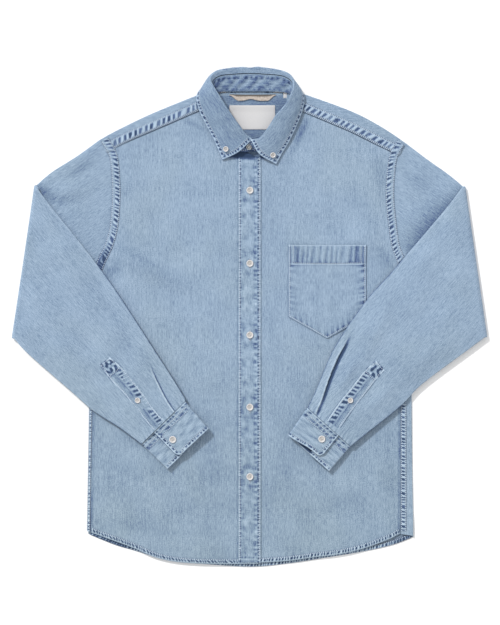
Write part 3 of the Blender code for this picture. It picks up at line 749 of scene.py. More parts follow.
def felled_band(line, width, side, height, seed, *, pitch, depth, skew, window, dark, pale=0.55, level=0.8,
                gutter=0.0, shade=None):
    """A felled seam: a raised band beside a line in plan, with dark patches between pale ridges, partly
    unfaded and rubbed cloth and partly painted shade and light.
    side says which side of the line it lies on, height gives the middle of the cloth under it, and
    window is the share of its width that the patches cover, with a darker gutter along its far end.
    shade adds painted shade to it by its place."""
    line = along(line, np.linspace(0, 1, max(4, int(walked(np.asarray(line))[-1] / 1.15))))
    aside = plan_normals(line) * side
    s = walked(line)[:, None]
    t = np.linspace(0, 1, max(7, int(width / 1.05)))[None, :]
    x = line[:, :1] + aside[:, :1] * t * width
    y = line[:, 1:] + aside[:, 1:] * t * width
    crest = puckers(s, t * width, pitch, seed, skew)
    ragged = crest + 0.16 * waves(s, t * width, 4.5, seed + 7) + 0.12 * drift(s, pitch * 1.3, seed + 8)
    inside = np.sin(math.pi * np.clip(0.04 + 0.92 * t, 0, 1)) ** 0.7
    low, high = window
    soft_edge = 0.9 / width
    covered = smooth((t - low) / (2 * soft_edge) + 0.5) * smooth((high - t) / (2 * soft_edge) + 0.5)
    covered = covered * (1 + 0.25 * drift(s, 30.0, seed + 5))
    dents = patches(ragged, s, pitch, seed)
    rise = level * (1 - np.abs(2 * t - 1) ** 6) + depth * (crest - 0.4) * inside
    z = height(x, y) + 0.05 + rise
    wear = (turned_edge(t * width, pale, 0.5) + turned_edge((1 - t) * width, pale, 0.5)
            + pale * crest ** 2 * covered + 0.12 * crest * inside - dark * dents * covered
            - gutter * bump((t - high) * width + 1.2, 1.3) - 0.02)
    if shade is not None:
        wear = wear + shade(x, y)
    return laid(x, y, z, wear, wall=0.7)


def stitch_columns(stitching, band, shares):
    """Rows of stitches along a band, at shares of its width."""
    rows, columns = band.grid.shape[:2]
    for share in shares:
        stitching.on(band, [((rows - 1) * t, share * (columns - 1)) for t in np.linspace(0, 1, rows // 2)])


# ---------------------------------------------------------------- body
def rows_between(*spans):
    """Places from each (start, end, count) span, one after another."""
    return np.concatenate([np.linspace(*span) for span in spans])


def roll(edge, outward, width, turn):
    """Points in (across, up) past an edge: a half-round fold of the given turn, then a flat return."""
    points = []
    for step in range(1, 9):
        angle = turn * step / 8
        reach = 4 * FOLD * step / 8 if turn < 0.01 else FOLD * math.sin(angle)
        points.append((edge + outward * reach, FOLD * (1 - math.cos(angle))))
    last, rise = points[-1]
    for share in (0.25, 0.5, 0.75, 1.0):
        points.append((last + outward * math.cos(turn) * width * share,
                       rise + math.sin(turn) * width * share))
    return points


def hem_place(outline, x, row):
    """Bends a low row down towards the curved hem; the lowest row is the hem itself."""
    if row >= HEM_TURN_Y:
        return np.full(np.shape(x), float(row))
    share = (HEM_TURN_Y - row) / (HEM_TURN_Y - HEM_ROW_Y)
    return HEM_TURN_Y + (y_at(outline, x) - HEM_TURN_Y) * share


def back_panel():
    """The back, whose side edges turn up and over to the side seams on the front."""
    grid = []
    for y in rows_between((HEM_ROW_Y, 34, 74), (38, 64, 18), (68, YOKE_SEAM_Y - SEAM, 28)):
        ends = {}
        for side in (-1, 1):
            limit = UNDERARM_Y[side]
            turn = math.pi * float(smooth((limit + 2 - y) / 7))
            full = abs(x_at(SIDE[side], y) - x_at(SIDE_SEAM[side], y)) - FOLD - CLOTH / 2
            width = 0.5 + (full - 0.5 - SEAM) * float(smooth((limit - 6 - y) / 8))
            if y <= limit - 6:
                edge = x_at(SIDE[side], y) - side * (FOLD + CLOTH / 2)
            else:
                outline = SIDE[side] if y < limit else ARMHOLE[side]
                edge = x_at(outline, y) - side * (SEAM + 0.3 + 4 * FOLD + 0.5)
            ends[side] = (edge, roll(edge, side, width, turn))
        left, right = ends[-1][0], ends[1][0]
        section = list(reversed(ends[-1][1]))
        section += [(left + (right - left) * share, 0.0) for share in np.linspace(0, 1, 84)]
        section += ends[1][1]
        x, up = np.array(section).T
        place = hem_place(BACK_HEM, x, y)
        # the turned-over part ends with the front's hem, and stands open there
        over = smooth(up / LAYER) * (y < 40)
        front_place = np.where(x > 0, hem_place(FRONT_HEM[1], x, y), hem_place(FRONT_HEM[-1], x, y))
        place = place + (front_place - place) * over
        grid.append(points_of(x, place, FLOOR_GAP + up * (OVER + hem_opening(y, x > 0))))
    grid = np.array(grid)
    x, y = grid[..., 0], grid[..., 1]
    inside_hem = (y < y_at(BACK_HEM, x) + 30) & (grid[..., 2] < FLOOR_GAP + 0.3)
    # the inside of the turned hem is lightened a little, and painted shadow darkens it towards the wearer's
    # left end, under the front's hem
    wear = 0.06 * waves(x, y, 70.0, 21) + (0.25 - 1.6 * smooth((x - 228.0) / 25.0)) * inside_hem
    return Cloth(grid, grid[..., :2], wear, up=DOWN, lined=False)


def turned_edge(distance, pale, dark=0.7):
    """A turned edge: a painted shadow line at its very edge, and wear rubbed pale just inside."""
    return pale * bump(distance - 1.5, 0.9) - dark * bump(distance, 0.55)


def seam_marks(x, y, line, reach, pitch, seed, dark, pale):
    """Marks beside a seam, short and uneven across it and fading away from it: dark between its puckers and
    pale on their crests, partly unfaded and rubbed cloth and partly painted shade and light.
    """
    distance, share = line_distance(x, y, line)
    s = share * walked(np.asarray(line))[-1]
    crest = puckers(s, distance, pitch, seed, 0.25)
    return (pale * crest - dark * (1 - crest) ** 2) * np.exp(-distance / reach)


def front(side):
    """One front, from its side seam to its centre edge, up to the armhole, shoulder and neck."""
    limit = UNDERARM_Y[side]
    armhole = soft(ARMHOLE[side][:-1])
    outer = [tuple(point) for point in armhole] + SHOULDER_SEAM[side][1:]
    grid = []
    for y in rows_between((HEM_ROW_Y, limit - 2, 140), (limit + 6, YOKE_SEAM_Y - 4, 70),
                          (YOKE_SEAM_Y - 1, 346, 44)):
        if y <= limit - 2:
            start = float(x_at(SIDE_SEAM[side], y))
        else:
            start = float(x_at(outer, y)) - side * (SEAM + 0.6)
        end = float(x_at(FRONT_NECK[side], y)) + side * SEAM if y > YOKE_SEAM_Y else FRONT_EDGE[side]
        x = np.linspace(start, end, 88)
        place = hem_place(FRONT_HEM[side], x, y)
        grid.append(points_of(x, place, front_height(x, place)))
    grid = np.array(grid)
    x, y = grid[..., 0], grid[..., 1]
    wear = 0.05 * waves(x, y, 60.0, 31 + side) - 0.05 * smooth((-60 - y) / 200.0)
    wear += seam_marks(x, y, armhole, 5.0, 10.0, 33 + side, 0.10, 0.10)
    wear += seam_marks(x, y, SHOULDER_SEAM[side], 4.0, 11.0, 35 + side, 0.10, 0.12)
    # painted shade under the collar's points, painted shade of the creases and of the collar's shadow, and a
    # few lighter places
    wear += under_collar_shade(x, y) + sum(depth * spot(x, y, *place) for depth, *place in SHADES[side])
    wear -= 0.55 * bump(np.abs(x - x_at(SIDE_SEAM[side], y)) - 1.6, 1.6) * (y < limit - 2)
    # painted shadow on the front beside the placket's left edge
    wear -= 0.22 * bump(x - PLACKET_X[0] + 1.4, 1.6)
    return Cloth(grid, grid[..., :2], wear, up=UP, lined=False)


def spot(x, y, cx, cy, long, wide, degrees):
    """A soft oval in plan, 1 in its middle."""
    angle = math.radians(degrees)
    u = (x - cx) * math.cos(angle) + (y - cy) * math.sin(angle)
    v = -(x - cx) * math.sin(angle) + (y - cy) * math.cos(angle)
    return np.exp(-(u / long) ** 2 - (v / wide) ** 2)


def under_collar_shade(x, y):
    """Painted shade between and under the collar's points."""
    aside = np.abs(x - 1.0)
    between = smooth((y - 256.0 - aside * 0.10) / 8.0) * smooth((300.0 - y) / 20.0)
    return -1.5 * between * smooth((46.0 - aside) / 14.0)


ARMPIT_SHADE = {-1: 0.8, 1: 0.40}      # the armhole seams are darkened with painted shade towards the armpits
ARMPIT_TOP = {-1: 128.0, 1: 100.0}
# Painted shade of creases and of the collar's shadow, and a few lighter places, on each front: strength,
# centre, half length, half width, turn in degrees
SHADES = {
    -1: [
        (-0.30, -226, 78, 17, 11, 50), (-0.16, -182, 98, 44, 6, -27), (-0.22, -92, 318, 22, 4.5, -24),
        (-0.14, -222, 262, 8, 24, 8), (-0.08, -150, 70, 60, 12, -20), (-0.10, -205, 205, 14, 9, 20),
        (-0.10, -195, -255, 26, 12, -30), (-0.10, -112, -320, 40, 9, 14), (-0.08, -60, -250, 18, 110, 0),
        (0.05, -120, 200, 60, 60, 0), (-0.10, -185, -345, 40, 9, -12), (-0.08, -130, -200, 40, 10, 30),
    ],
    1: [
        (-0.42, 83, 300, 36, 6.0, 66), (-0.20, 226, 92, 22, 12, -60), (-0.12, 214, 240, 8, 34, 8),
        (0.05, 120, 230, 60, 50, 0), (-0.06, 60, -260, 20, 110, 0), (-0.09, 165, -300, 50, 14, 16),
        (-0.05, 40, -40, 12, 120, 0), (-0.12, 232, -250, 12, 60, 0), (-0.10, 92, -215, 22, 30, 30),
    ],
}


YOKE_FLAT = [*np.linspace(0, 0.9, 18), 0.94, 0.98, 1.0]      # shares of the way up its flat part


def yoke_half(side):
    """Columns of the yoke from an armhole to the neck, folded over the shoulder to the seam in front."""
    fold_line = soft(SHOULDER_FOLD[side], 2.0)
    columns = []
    for share in np.linspace(0, 1, 52):
        crown = along(fold_line, share)
        seam = along(SHOULDER_SEAM[side], share)
        tangent = along(fold_line, min(1, share + 0.02)) - along(fold_line, max(0, share - 0.02))
        outward = np.array([-tangent[1], tangent[0]]) * -side
        outward /= np.linalg.norm(outward)
        crown = crown - outward * (FOLD + CLOTH / 2)
        foot = np.array([x_at(ARMHOLE[side], YOKE_SEAM_Y) * (1 - share) + side * 62 * share, YOKE_SEAM_Y])
        inset = np.array([side * 0.9 * max(0.0, 1 - share * 12), 0])
        crown, seam, foot = crown - inset, seam - inset, foot - inset
        column = []
        for step in YOKE_FLAT:
            x, y = foot + (crown - foot) * step
            column.append((x, y, FLOOR_GAP + neck_lift(x, y)))
        for turn in np.radians(np.linspace(20, 160, 8)):
            x, y = crown + outward * FOLD * math.sin(turn)
            column.append((x, y, FLOOR_GAP + OVER * FOLD * (1 - math.cos(turn)) + neck_lift(*crown)))
        for step in np.linspace(0, 1, 22):
            x, y = crown + (seam + np.array([0, SEAM + 0.4]) - crown) * step
            swell = 1.3 * math.sin(math.pi * min(step, 0.95)) * math.sin(math.pi * min(1, share * 1.05))
            column.append((x, y, FLOOR_GAP + OVER * LAYER + neck_lift(x, y) + swell))
        columns.append(column)
    return columns


def yoke_middle():
    """Columns of the yoke between the shoulders, up to the back of the neck."""
    columns = []
    for share in np.linspace(0, 1, 40)[1:-1]:
        top = along(soft(BACK_NECK), share)
        foot = np.array([top[0], YOKE_SEAM_Y])
        steps = [*np.linspace(0, 0.9, 18), 0.925, 0.945, 0.955, *np.linspace(0.957, 1.0, 30)]
        places = [foot + (top - foot) * step for step in steps]
        columns.append([(*place, FLOOR_GAP + neck_lift(*place)) for place in places])
    return columns


def yoke():
    """The yoke: flat across the back, and folded over each shoulder to the seam on the front."""
    grid = np.array([*yoke_half(-1), *yoke_middle(), *reversed(yoke_half(1))])
    x, y = grid[..., 0], grid[..., 1]
    wear = -0.05 + 0.05 * waves(x, y, 50.0, 41)
    # painted shade on the yoke's flat back part, which shows inside the neck
    wear[:, :len(YOKE_FLAT)] -= 0.28
    for side in (-1, 1):
        marks = seam_marks(x, y, SHOULDER_SEAM[side], 9.0, 9.5, 43 + side, 0.35, 0.2)
        marks[:, :len(YOKE_FLAT)] = 0
        wear += marks
    return Cloth(grid, points_of(y, x), wear, up=DOWN)


def placket():
    """The buttonhole band, stitched down both edges and roped between them by washing."""
    rows = np.linspace(PLACKET_Y[0], PLACKET_Y[1], 480)[:, None]
    columns = np.linspace(PLACKET_X[0], PLACKET_X[1], 41)[None, :]
    x, y = np.broadcast_arrays(columns, rows)
    left, right, foot = x - PLACKET_X[0], PLACKET_X[1] - x, y - PLACKET_Y[0]
    near = np.minimum(left, right)
    ropes = puckers(y, x, 9.4, 51, 0.10)
    left_pulls, right_pulls = puckers(y, 0 * x, 5.2, 52), puckers(y, 0 * x, 5.2, 60)
    hem_pulls = puckers(x, 0 * y, 4.6, 61)
    swell = 0.55 * smooth(near / 3.5)
    valley = 0.30 * bump(left - 2.4, 1.0) + 0.32 * bump(right - 2.4, 0.9)
    pull = 0.45 * (ropes - 0.5) * np.exp(-left / 7.0) + 0.55 * (ropes - 0.5) * np.exp(-right / 11.0)
    blots = waves(x * 1.5, y, 21.0, 53)
    z = front_height(x, y, 2) + swell - valley + pull + 0.25 * blots * smooth(near / 6.0)
    strength = 0.75 + 0.35 * drift(y, 46.0, 55)
    wear = (turned_edge(left + 0.5, 0.36, 0.3) + turned_edge(right, 0.45, 0.3)
            - 1.90 * patches(left_pulls, y, 5.2, 56, 0.40) * bump(left - 2.8, 1.1)
            + 1.20 * left_pulls ** 2 * bump(left - 1.7, 1.3)
            - 1.90 * patches(right_pulls, y, 5.2, 62, 0.42) * bump(right - 3.7, 1.1)
            + 2.00 * right_pulls ** 2 * bump(right - 2.2, 1.3)
            + 0.34 * ropes ** 2 * bump(right - 7.6, 1.4)
            - 0.62 * strength * patches(ropes, y, 9.4, 57) * bump(right - 8.6, 3.4)
            - 0.16 * patches(ropes, y, 9.4, 59) * bump(left - 7.0, 3.2)
            - 0.90 * patches(hem_pulls, x, 4.6, 63, 0.5) * bump(foot - 8.6, 1.3) * smooth(near / 3.0)
            - 0.50 * bump(foot - 2.4, 0.8) + 0.30 * bump(foot - 5.0, 1.4)
            + 0.15 * blots + 0.10 * waves(x, y, 9.0, 54) + 0.03 - 0.09 * smooth((-60.0 - y) / 160.0))
    for button_y in FRONT_BUTTON_Y:
        distance = np.hypot(x - BUTTON_X, (y - button_y) * 0.8)
        wear = wear + 0.15 * bump(distance - 8.5, 2.0) - 0.22 * bump(distance - 13.0, 4.0)
    # painted shade between the collar's points
    wear = wear + under_collar_shade(x, y)
    return laid(x, y, z, wear)



def pocket():
    """The patch pocket: a deep hem turned inwards, sides, and a foot with a low point."""
    a, b = np.meshgrid(np.linspace(0, 1, 98), np.linspace(0, 1, 114))
    middle, half = sum(POCKET_X) / 2, (POCKET_X[1] - POCKET_X[0]) / 2
    x = POCKET_X[0] + (POCKET_X[1] - POCKET_X[0]) * a
    foot_y = POCKET_POINT + (POCKET_CORNER - POCKET_POINT) * np.abs(x - middle) / half
    top = POCKET_TOP - 1.2 * np.sin(math.pi * a)
    y = top + (foot_y - top) * b
    left, right, down = x - POCKET_X[0], POCKET_X[1] - x, POCKET_TOP - y
    foot = (y - foot_y) * math.cos(math.atan2(POCKET_CORNER - POCKET_POINT, half))
    near = np.minimum(np.minimum(left, right), foot)
    run = np.where(foot < np.minimum(left, right), x, y)
    marks = puckers(run, near, 10.0, 61, 0.2)
    ticks = puckers(x, y, 7.6, 64)
    bars = puckers(x, down, 9.6, 62, 0.10)
    hem = smooth((POCKET_HEM - down) / 1.6)
    hem_fade = smooth(down / 4.0) * smooth((POCKET_HEM - down) / 2.0)
    hang = (0.35 + 0.65 * (down / POCKET_HEM)) * hem_fade       # the bars are strongest at the hem's foot
    z = front_height(x, y, 2) + 0.5 * smooth(near / 3.0) + 0.55 * hem
    z -= 0.35 * bump(near - 3.0, 1.0) + 0.35 * bump(down - POCKET_HEM + 2.5, 1.1)
    z += 0.7 * (bars - 0.5) * hem_fade + 0.5 * (marks - 0.5) * np.exp(-near / 7.0) * (1 - hem)
    side_marks = patches(marks, run, 10.0, 65)
    right_heavy = np.where(right < left, 1.0, 0.62)
    at_sides = 0.4 + 0.6 * bump(left, 30.0) + 0.6 * bump(right, 30.0)
    wear = (turned_edge(near, 0.55) + turned_edge(down, 0.60) + 0.55 * bump(down - POCKET_HEM, 1.1)
            - 0.50 * bump(down - POCKET_HEM - 2.0, 1.1) * at_sides
            - 0.15 * hem_fade + 0.20 * bars * hem_fade - 0.30 * patches(bars, x, 9.6, 66, 0.34) * hang
            - 0.50 * patches(ticks, x, 7.6, 67, 0.45) * bump(down - POCKET_HEM + 3.0, 1.8)
            - 0.42 * hem_fade * bump(left - 13.0, 3.6) - 0.50 * hem_fade * bump(right - 14.5, 4.4)
            - 0.18 * hem_fade * bump(right - 24.0, 3.0) + 0.35 * hem_fade * bump(left - 7.0, 1.6)
            - 0.60 * hem_fade * bump(left - 3.4, 1.2) - 0.45 * hem_fade * bump(right - 3.4, 1.2)
            - (1 - hem) * right_heavy * side_marks * smooth((near - 1.6) / 1.2) * np.exp(-near / 6.0) * 1.5
            + 0.06 * waves(x, y, 30.0, 63))
    return laid(x, y, z, wear)


# ---------------------------------------------------------------- sleeves
SLEEVE_CREASES = {
    -1: [
        ((-300, 92), (-262, 40), 6, 14, 1.2),
        ((-262, 48), (-206, -36), -8, 13, 1.6),
        ((-238, 30), (-176, -62), -6, 9, -1.2),
        ((-345, 30), (-285, -20), 8, 24, 1.5),
        ((-330, -40), (-262, -92), 6, 22, 1.4),
        ((-318, 120), (-286, 60), 8, 18, 1.0),
        ((-232, -128), (-196, -176), -4, 10, 1.3),
        ((-252, -112), (-216, -122), 3, 8, 1.0),
        ((-168, -90), (-140, -150), 3, 7, 1.2),
    ],
    1: [
        ((330, 110), (282, 62), -6, 20, 1.3),
        ((362, 20), (300, -30), -8, 24, 1.4),
        ((226, 20), (190, -40), 8, 13, 1.4),
        ((208, -22), (158, -98), 7, 12, 1.5),
        ((300, -52), (236, -104), -6, 20, 1.3),
        ((172, -70), (140, -128), 4, 8, 1.4),
        ((232, -112), (188, -160), 4, 11, 1.4),
        ((290, 60), (240, -10), 6, 22, 1.0),
    ],
}
UPPER_ARM_FULLNESS = {-1: 4.6, 1: 2.2}       # how far the upper edge bows out
FULLEST = 0.76                               # and where most, as a share of the way to the elbow
ARMHOLE_TUCK = 0.6                           # how far the sleeve and its felled seam lie inside the armhole
UPPER_ARM_CREASES = {
    -1: [
        # start, end, bow, half width, height
        ((-350, 222), (-270, 216), -12, 9, 2.6),
        ((-347, 215), (-278, 200), -15, 5, -1.8),
        ((-250, 284), (-306, 238), 3, 8, 1.6),
        ((-246, 272), (-296, 236), 3, 6, -1.6),
        ((-268, 180), (-300, 150), 0, 12, 1.0),
    ],
    1: [
        ((338, 224), (258, 124), 0, 21, 3.8),
        ((268, 272), (296, 232), -5, 14, 1.1),
        ((262, 236), (300, 206), 4, 12, 1.3),
        ((248, 180), (270, 150), -4, 10, 1.0),
    ],
}
# Painted shade of folds and creases on each sleeve where the strength is negative, and lighter stretches
# where it is positive: start, end, bow, half width, strength
UPPER_ARM_SHADES = {
    -1: [
        ((-349, 216), (-282, 200), -15, 5.5, -0.40),
        ((-346, 212), (-334, 202), 0, 7, -0.22),
        ((-248, 276), (-300, 232), 3, 5, -0.28),
        ((-334, 190), (-246, 84), 0, 16, -0.06),
    ],
    1: [
        ((352, 208), (246, 84), 0, 13, -0.22),
        ((344, 206), (252, 94), 0, 28, -0.28),
        ((262, 226), (300, 210), 2, 9, -0.12),
        ((258, 112), (246, 92), 0, 5, 0.35),
    ],
}
FOREARM_SHADES = {
    -1: [
        ((-181, -44), (-152, -112), 0, 9, -0.14),
        ((-141, -58), (-117, -126), 0, 6, 0.14),
        ((-300, 100), (-180, -70), 6, 7, -0.06),
        ((-330, -60), (-220, -150), -6, 22, 0.05),
    ],
    1: [
        ((150, -60), (104, -140), -3, 6, 0.14),
        ((200, -10), (150, -110), 4, 10, -0.08),
        ((320, -50), (230, -130), 6, 24, -0.05),
    ],
}
CUFF_GAPE = {-1: 1.2, 1: 7.5}     # how far the lap stops short of the layer under it
# How wide each pleat gapes, how deep it is, and how dark the painted shade inside it is
PLEAT_FORM = {-1: (1.4, 1.5, 1.0), 1: (3.0, 3.2, 2.8)}
# The pleat at each cuff, from its open end down to the cuff seam
PLEAT = {
    -1: [(-166, -76), (-151, -109), (-137, -136), (-124, -155.5)],
    1: [(168, -18), (157, -44.5), (141, -75), (128.5, -107), (118, -138), (110.5, -155)],
}


def ring_profile(width, top_shares, bottom_count):
    """A flat tube's section as (across, up, top) round its middle: the upper layer, then the lower."""
    near = FOLD + CLOTH / 2
    inner = width - 2 * near

    def turn(start, outward, angles):
        for angle in np.radians(angles):
            points.append((start + outward * FOLD * math.cos(angle), FOLD * math.sin(angle),
                           max(0.0, math.sin(angle))))

    points = [(near + inner * share, FOLD, 1.0) for share in top_shares]
    turn(width - near, 1, (60, 30, 0, -30, -60))
    points += [(near + inner * share, -FOLD, 0.0) for share in np.linspace(1, 0, bottom_count)]
    turn(near, -1, (-60, -30, 0, 30, 60))
    return np.array(points)


def turned(x, y, degrees):
    """Plan turned so that the second coordinate runs along the warp."""
    angle = math.radians(degrees)
    return points_of(-x * math.sin(angle) + y * math.cos(angle), x * math.cos(angle) + y * math.sin(angle))


def pleat_form(side, x, y):
    """Height that the pleat at the cuff gives the sleeve's upper layer, and its pale edge and the painted
    shade in its gap.
    """
    line = soft(PLEAT[side], 3.0)
    distance, share = line_distance(x, y, line)
    start, end = line[0], line[-1]
    run = (end - start) / np.linalg.norm(end - start)
    before = (x - start[0]) * run[0] + (y - start[1]) * run[1] < 0
    line_x = np.interp(share, np.linspace(0, 1, len(line)), line[:, 0])
    open_side = distance * np.sign(x - line_x)      # positive on the side that tucks under
    fade = smooth(share / 0.35) * ~before
    gape, depth, dark = PLEAT_FORM[side]
    swing = 1.0 if side == -1 else 0.35 + 0.65 * np.sin(math.pi * np.clip(share * 1.15, 0, 1))
    on_top = open_side <= 0
    rise = fade * (1.1 * np.exp(open_side / 6.0) * on_top
                   - depth * swing * np.exp(-open_side / (3.0 * gape)) * ~on_top)
    wear = fade * (0.95 * bump(open_side + 0.7, 1.0) - dark * swing * bump(open_side - gape, 0.8 * gape))
    return rise, wear


def arm_section(width):
    """A sleeve's section, with the layer that shows once it has turned over listed first.  Its columns
    stand close where the pleat lies."""
    shown = [*np.linspace(0, 0.08, 7)[:-1], *np.linspace(0.08, 0.42, 36)[:-1], *np.linspace(0.42, 1, 36)]
    profile = ring_profile(width, shown, 24)
    profile[:, 1] *= -1
    return profile


def upper_arm(side, axis, outward):
    """Rows out from the armhole to the elbow, and over its axis."""
    arm = arm_section(ARM_WIDTH)
    shares = np.clip(arm[:, 0] / ARM_WIDTH, 0, 1)
    armhole = soft(ARMHOLE[side][::-1], 3.0)
    run = (axis[0] - armhole[0]) / np.linalg.norm(axis[0] - armhole[0])
    edge_out = np.array([-run[1], run[0]]) * side

    def fullness(at):
        """How far the arm bows out beside each column, most at the fold along its upper edge."""
        return edge_out * (UPPER_ARM_FULLNESS[side] * at * (1 - shares) ** 3)[:, None]

    rows = []
    start = along(armhole, shares) - np.array([side * ARMHOLE_TUCK, 0])
    end = along(axis, shares)
    for step in np.linspace(0, 1, ARM_STEPS):
        place = start + (end - start) * step + fullness(bump(step - FULLEST, 0.30))
        swell = 1.2 * math.sin(math.pi * step) * np.sin(math.pi * shares) ** 0.7
        crease = crease_heights(place[:, 0], place[:, 1], UPPER_ARM_CREASES[side])
        crease = crease * smooth(min(step, 1 - step) / 0.12)
        lift = (1 - arm[:, 2]) * np.maximum(-0.2, swell + crease)
        rows.append(np.column_stack([place, ARM_MIDDLE + arm[:, 1] * 1.06 + lift]))
    radius = TURN_HEIGHT - ARM_MIDDLE - arm[:, 1]
    for turn in np.radians(TURN_ANGLES):
        place = end + outward * (radius * math.sin(turn))[:, None]
        place += fullness(bump(1 - FULLEST, 0.30) * math.cos(turn / 2) ** 2)
        rows.append(np.column_stack([place, TURN_HEIGHT - radius * math.cos(turn)]))
    return rows


def forearm(side, axis):
    """Rows from the elbow down to the cuff, on top of the front."""
    first_line = soft([tuple(axis[0])] + FOREARM_UPPER[side][1:], 3.0)
    last_line = soft([tuple(axis[1])] + FOREARM_LOWER[side][1:], 3.0)
    rows = []
    for step in np.linspace(0, 1, 150):
        first, last = along(first_line, step), along(last_line, step)
        width = np.linalg.norm(last - first)
        profile = arm_section(width)
        place = first + (last - first) * (profile[:, 0] / width)[:, None]
        x, y = place.T
        near_edge = np.minimum(profile[:, 0], width - profile[:, 0])
        body = 0.8 * lie(x, y) * (np.abs(x) < 262)
        swell = (2.0 + 0.8 * math.sin(step * 5.0)) * smooth(near_edge / 38.0) * smooth(step / 0.12 + 0.1)
        swell += 0.5 * (1 + waves(x, y, 58.0, 71 + side)) * smooth(near_edge / 20.0)
        crease = crease_heights(x, y, SLEEVE_CREASES[side]) * smooth(near_edge / 10.0)
        pleat, _ = pleat_form(side, x, y)
        raise_cuff = 3.4 * smooth((step - 0.45) / 0.55)
        lift = profile[:, 2] * np.maximum(-2.2, swell + crease + pleat)
        z = TURN_HEIGHT + (TURN_HEIGHT - ARM_MIDDLE - profile[:, 1] * 1.1) + lift + body + raise_cuff
        rows.append(np.column_stack([place, z]))
    return rows


def sleeve(side):
    """A sleeve as one flat tube: out from the armhole, over at the elbow, and back across the front."""
    elbow = np.array(ELBOW[side], float)
    run = (elbow[1] - elbow[0]) / np.linalg.norm(elbow[1] - elbow[0])
    outward = np.array([side * abs(run[1]), abs(run[0])])
    axis = elbow - outward * (TURN_HEIGHT - ARM_MIDDLE + FOLD + CLOTH / 2)
    grid = np.array(upper_arm(side, axis, outward) + forearm(side, axis))
    x, y = grid[..., 0], grid[..., 1]
    past_elbow = (np.arange(len(grid)) >= ARM_STEPS + np.count_nonzero(TURN_ANGLES < 70))[:, None]
    grain = np.where(past_elbow[..., None], turned(x, y, GRAIN["forearm"][side]),
                     turned(x, y, GRAIN["upper_arm"][side]))
    typical = 150.0         # width of the forearm half way down
    ring = arm_section(typical)
    _, pleat_shading = pleat_form(side, x, y)
    shade = np.where(past_elbow, crease_heights(x, y, FOREARM_SHADES[side]),
                     crease_heights(x, y, UPPER_ARM_SHADES[side]))
    seam_end = [FOREARM_UPPER[side][-1], FOREARM_LOWER[side][-1]]
    from_edge = np.minimum(ring[:, 0], typical - ring[:, 0])[None, :]
    # painted highlight just in from each rounded fold, and a painted contact shadow at the very fold where
    # it lies over the body
    over_body = smooth((258.0 - np.abs(x)) / 12.0)
    edge_highlight_and_shadow = 0.25 * bump(from_edge - 2.2, 1.0) - 1.0 * bump(from_edge, 1.1) * over_body
    wear = 0.04 * waves(x, y, 64.0, 73 + side) + shade
    at_cuff = seam_marks(x, y, seam_end, 6.0, 8.0, 75 + side, 0.3, 0.3)
    wear += past_elbow * (pleat_shading * ring[:, 2] + edge_highlight_and_shadow + at_cuff)
    return Cloth(grid, grain, wear, ring=True, lined=False)


# Columns of a cuff's section: its lap, a turn, the lower layer, a turn, and the end under the lap
CUFF_COLUMNS = (46, 9, 40, 9, 26)


def cuff_section(width, lift):
    """The cuff's section as (across, height, share of the outer layer) from the lap's end round to the
    end under it.  The top layers stand off the lower one by lift."""
    near = FOLD + CLOTH / 2
    lap, under, low = LEVEL[5] + lift, LEVEL[4] + 0.55 * lift, LEVEL[3]
    start, end = near + 1.6, width - near - 1.0
    points = []

    def flat(first, last, height, outer, count):
        points.extend((across, height, outer) for across in np.linspace(first, last, count))

    def turn(edge, reach, top, first, count):
        for angle in np.radians(np.linspace(first, -first, count)):
            points.append((edge + reach * math.cos(angle),
                           (top + low) / 2 + (top - low) / 2 * math.sin(angle), 0.5))

    flat(width * CUFF_LAP, start, lap, 1.0, CUFF_COLUMNS[0])
    turn(start, CLOTH / 2 - start, lap, 75, CUFF_COLUMNS[1])
    flat(start, end, low, 0.0, CUFF_COLUMNS[2])
    turn(end, near + 1.0 - CLOTH / 2, under, -75, CUFF_COLUMNS[3])
    flat(end, width * CUFF_UNDER, under, 0.2, CUFF_COLUMNS[4])
    return np.array(points)


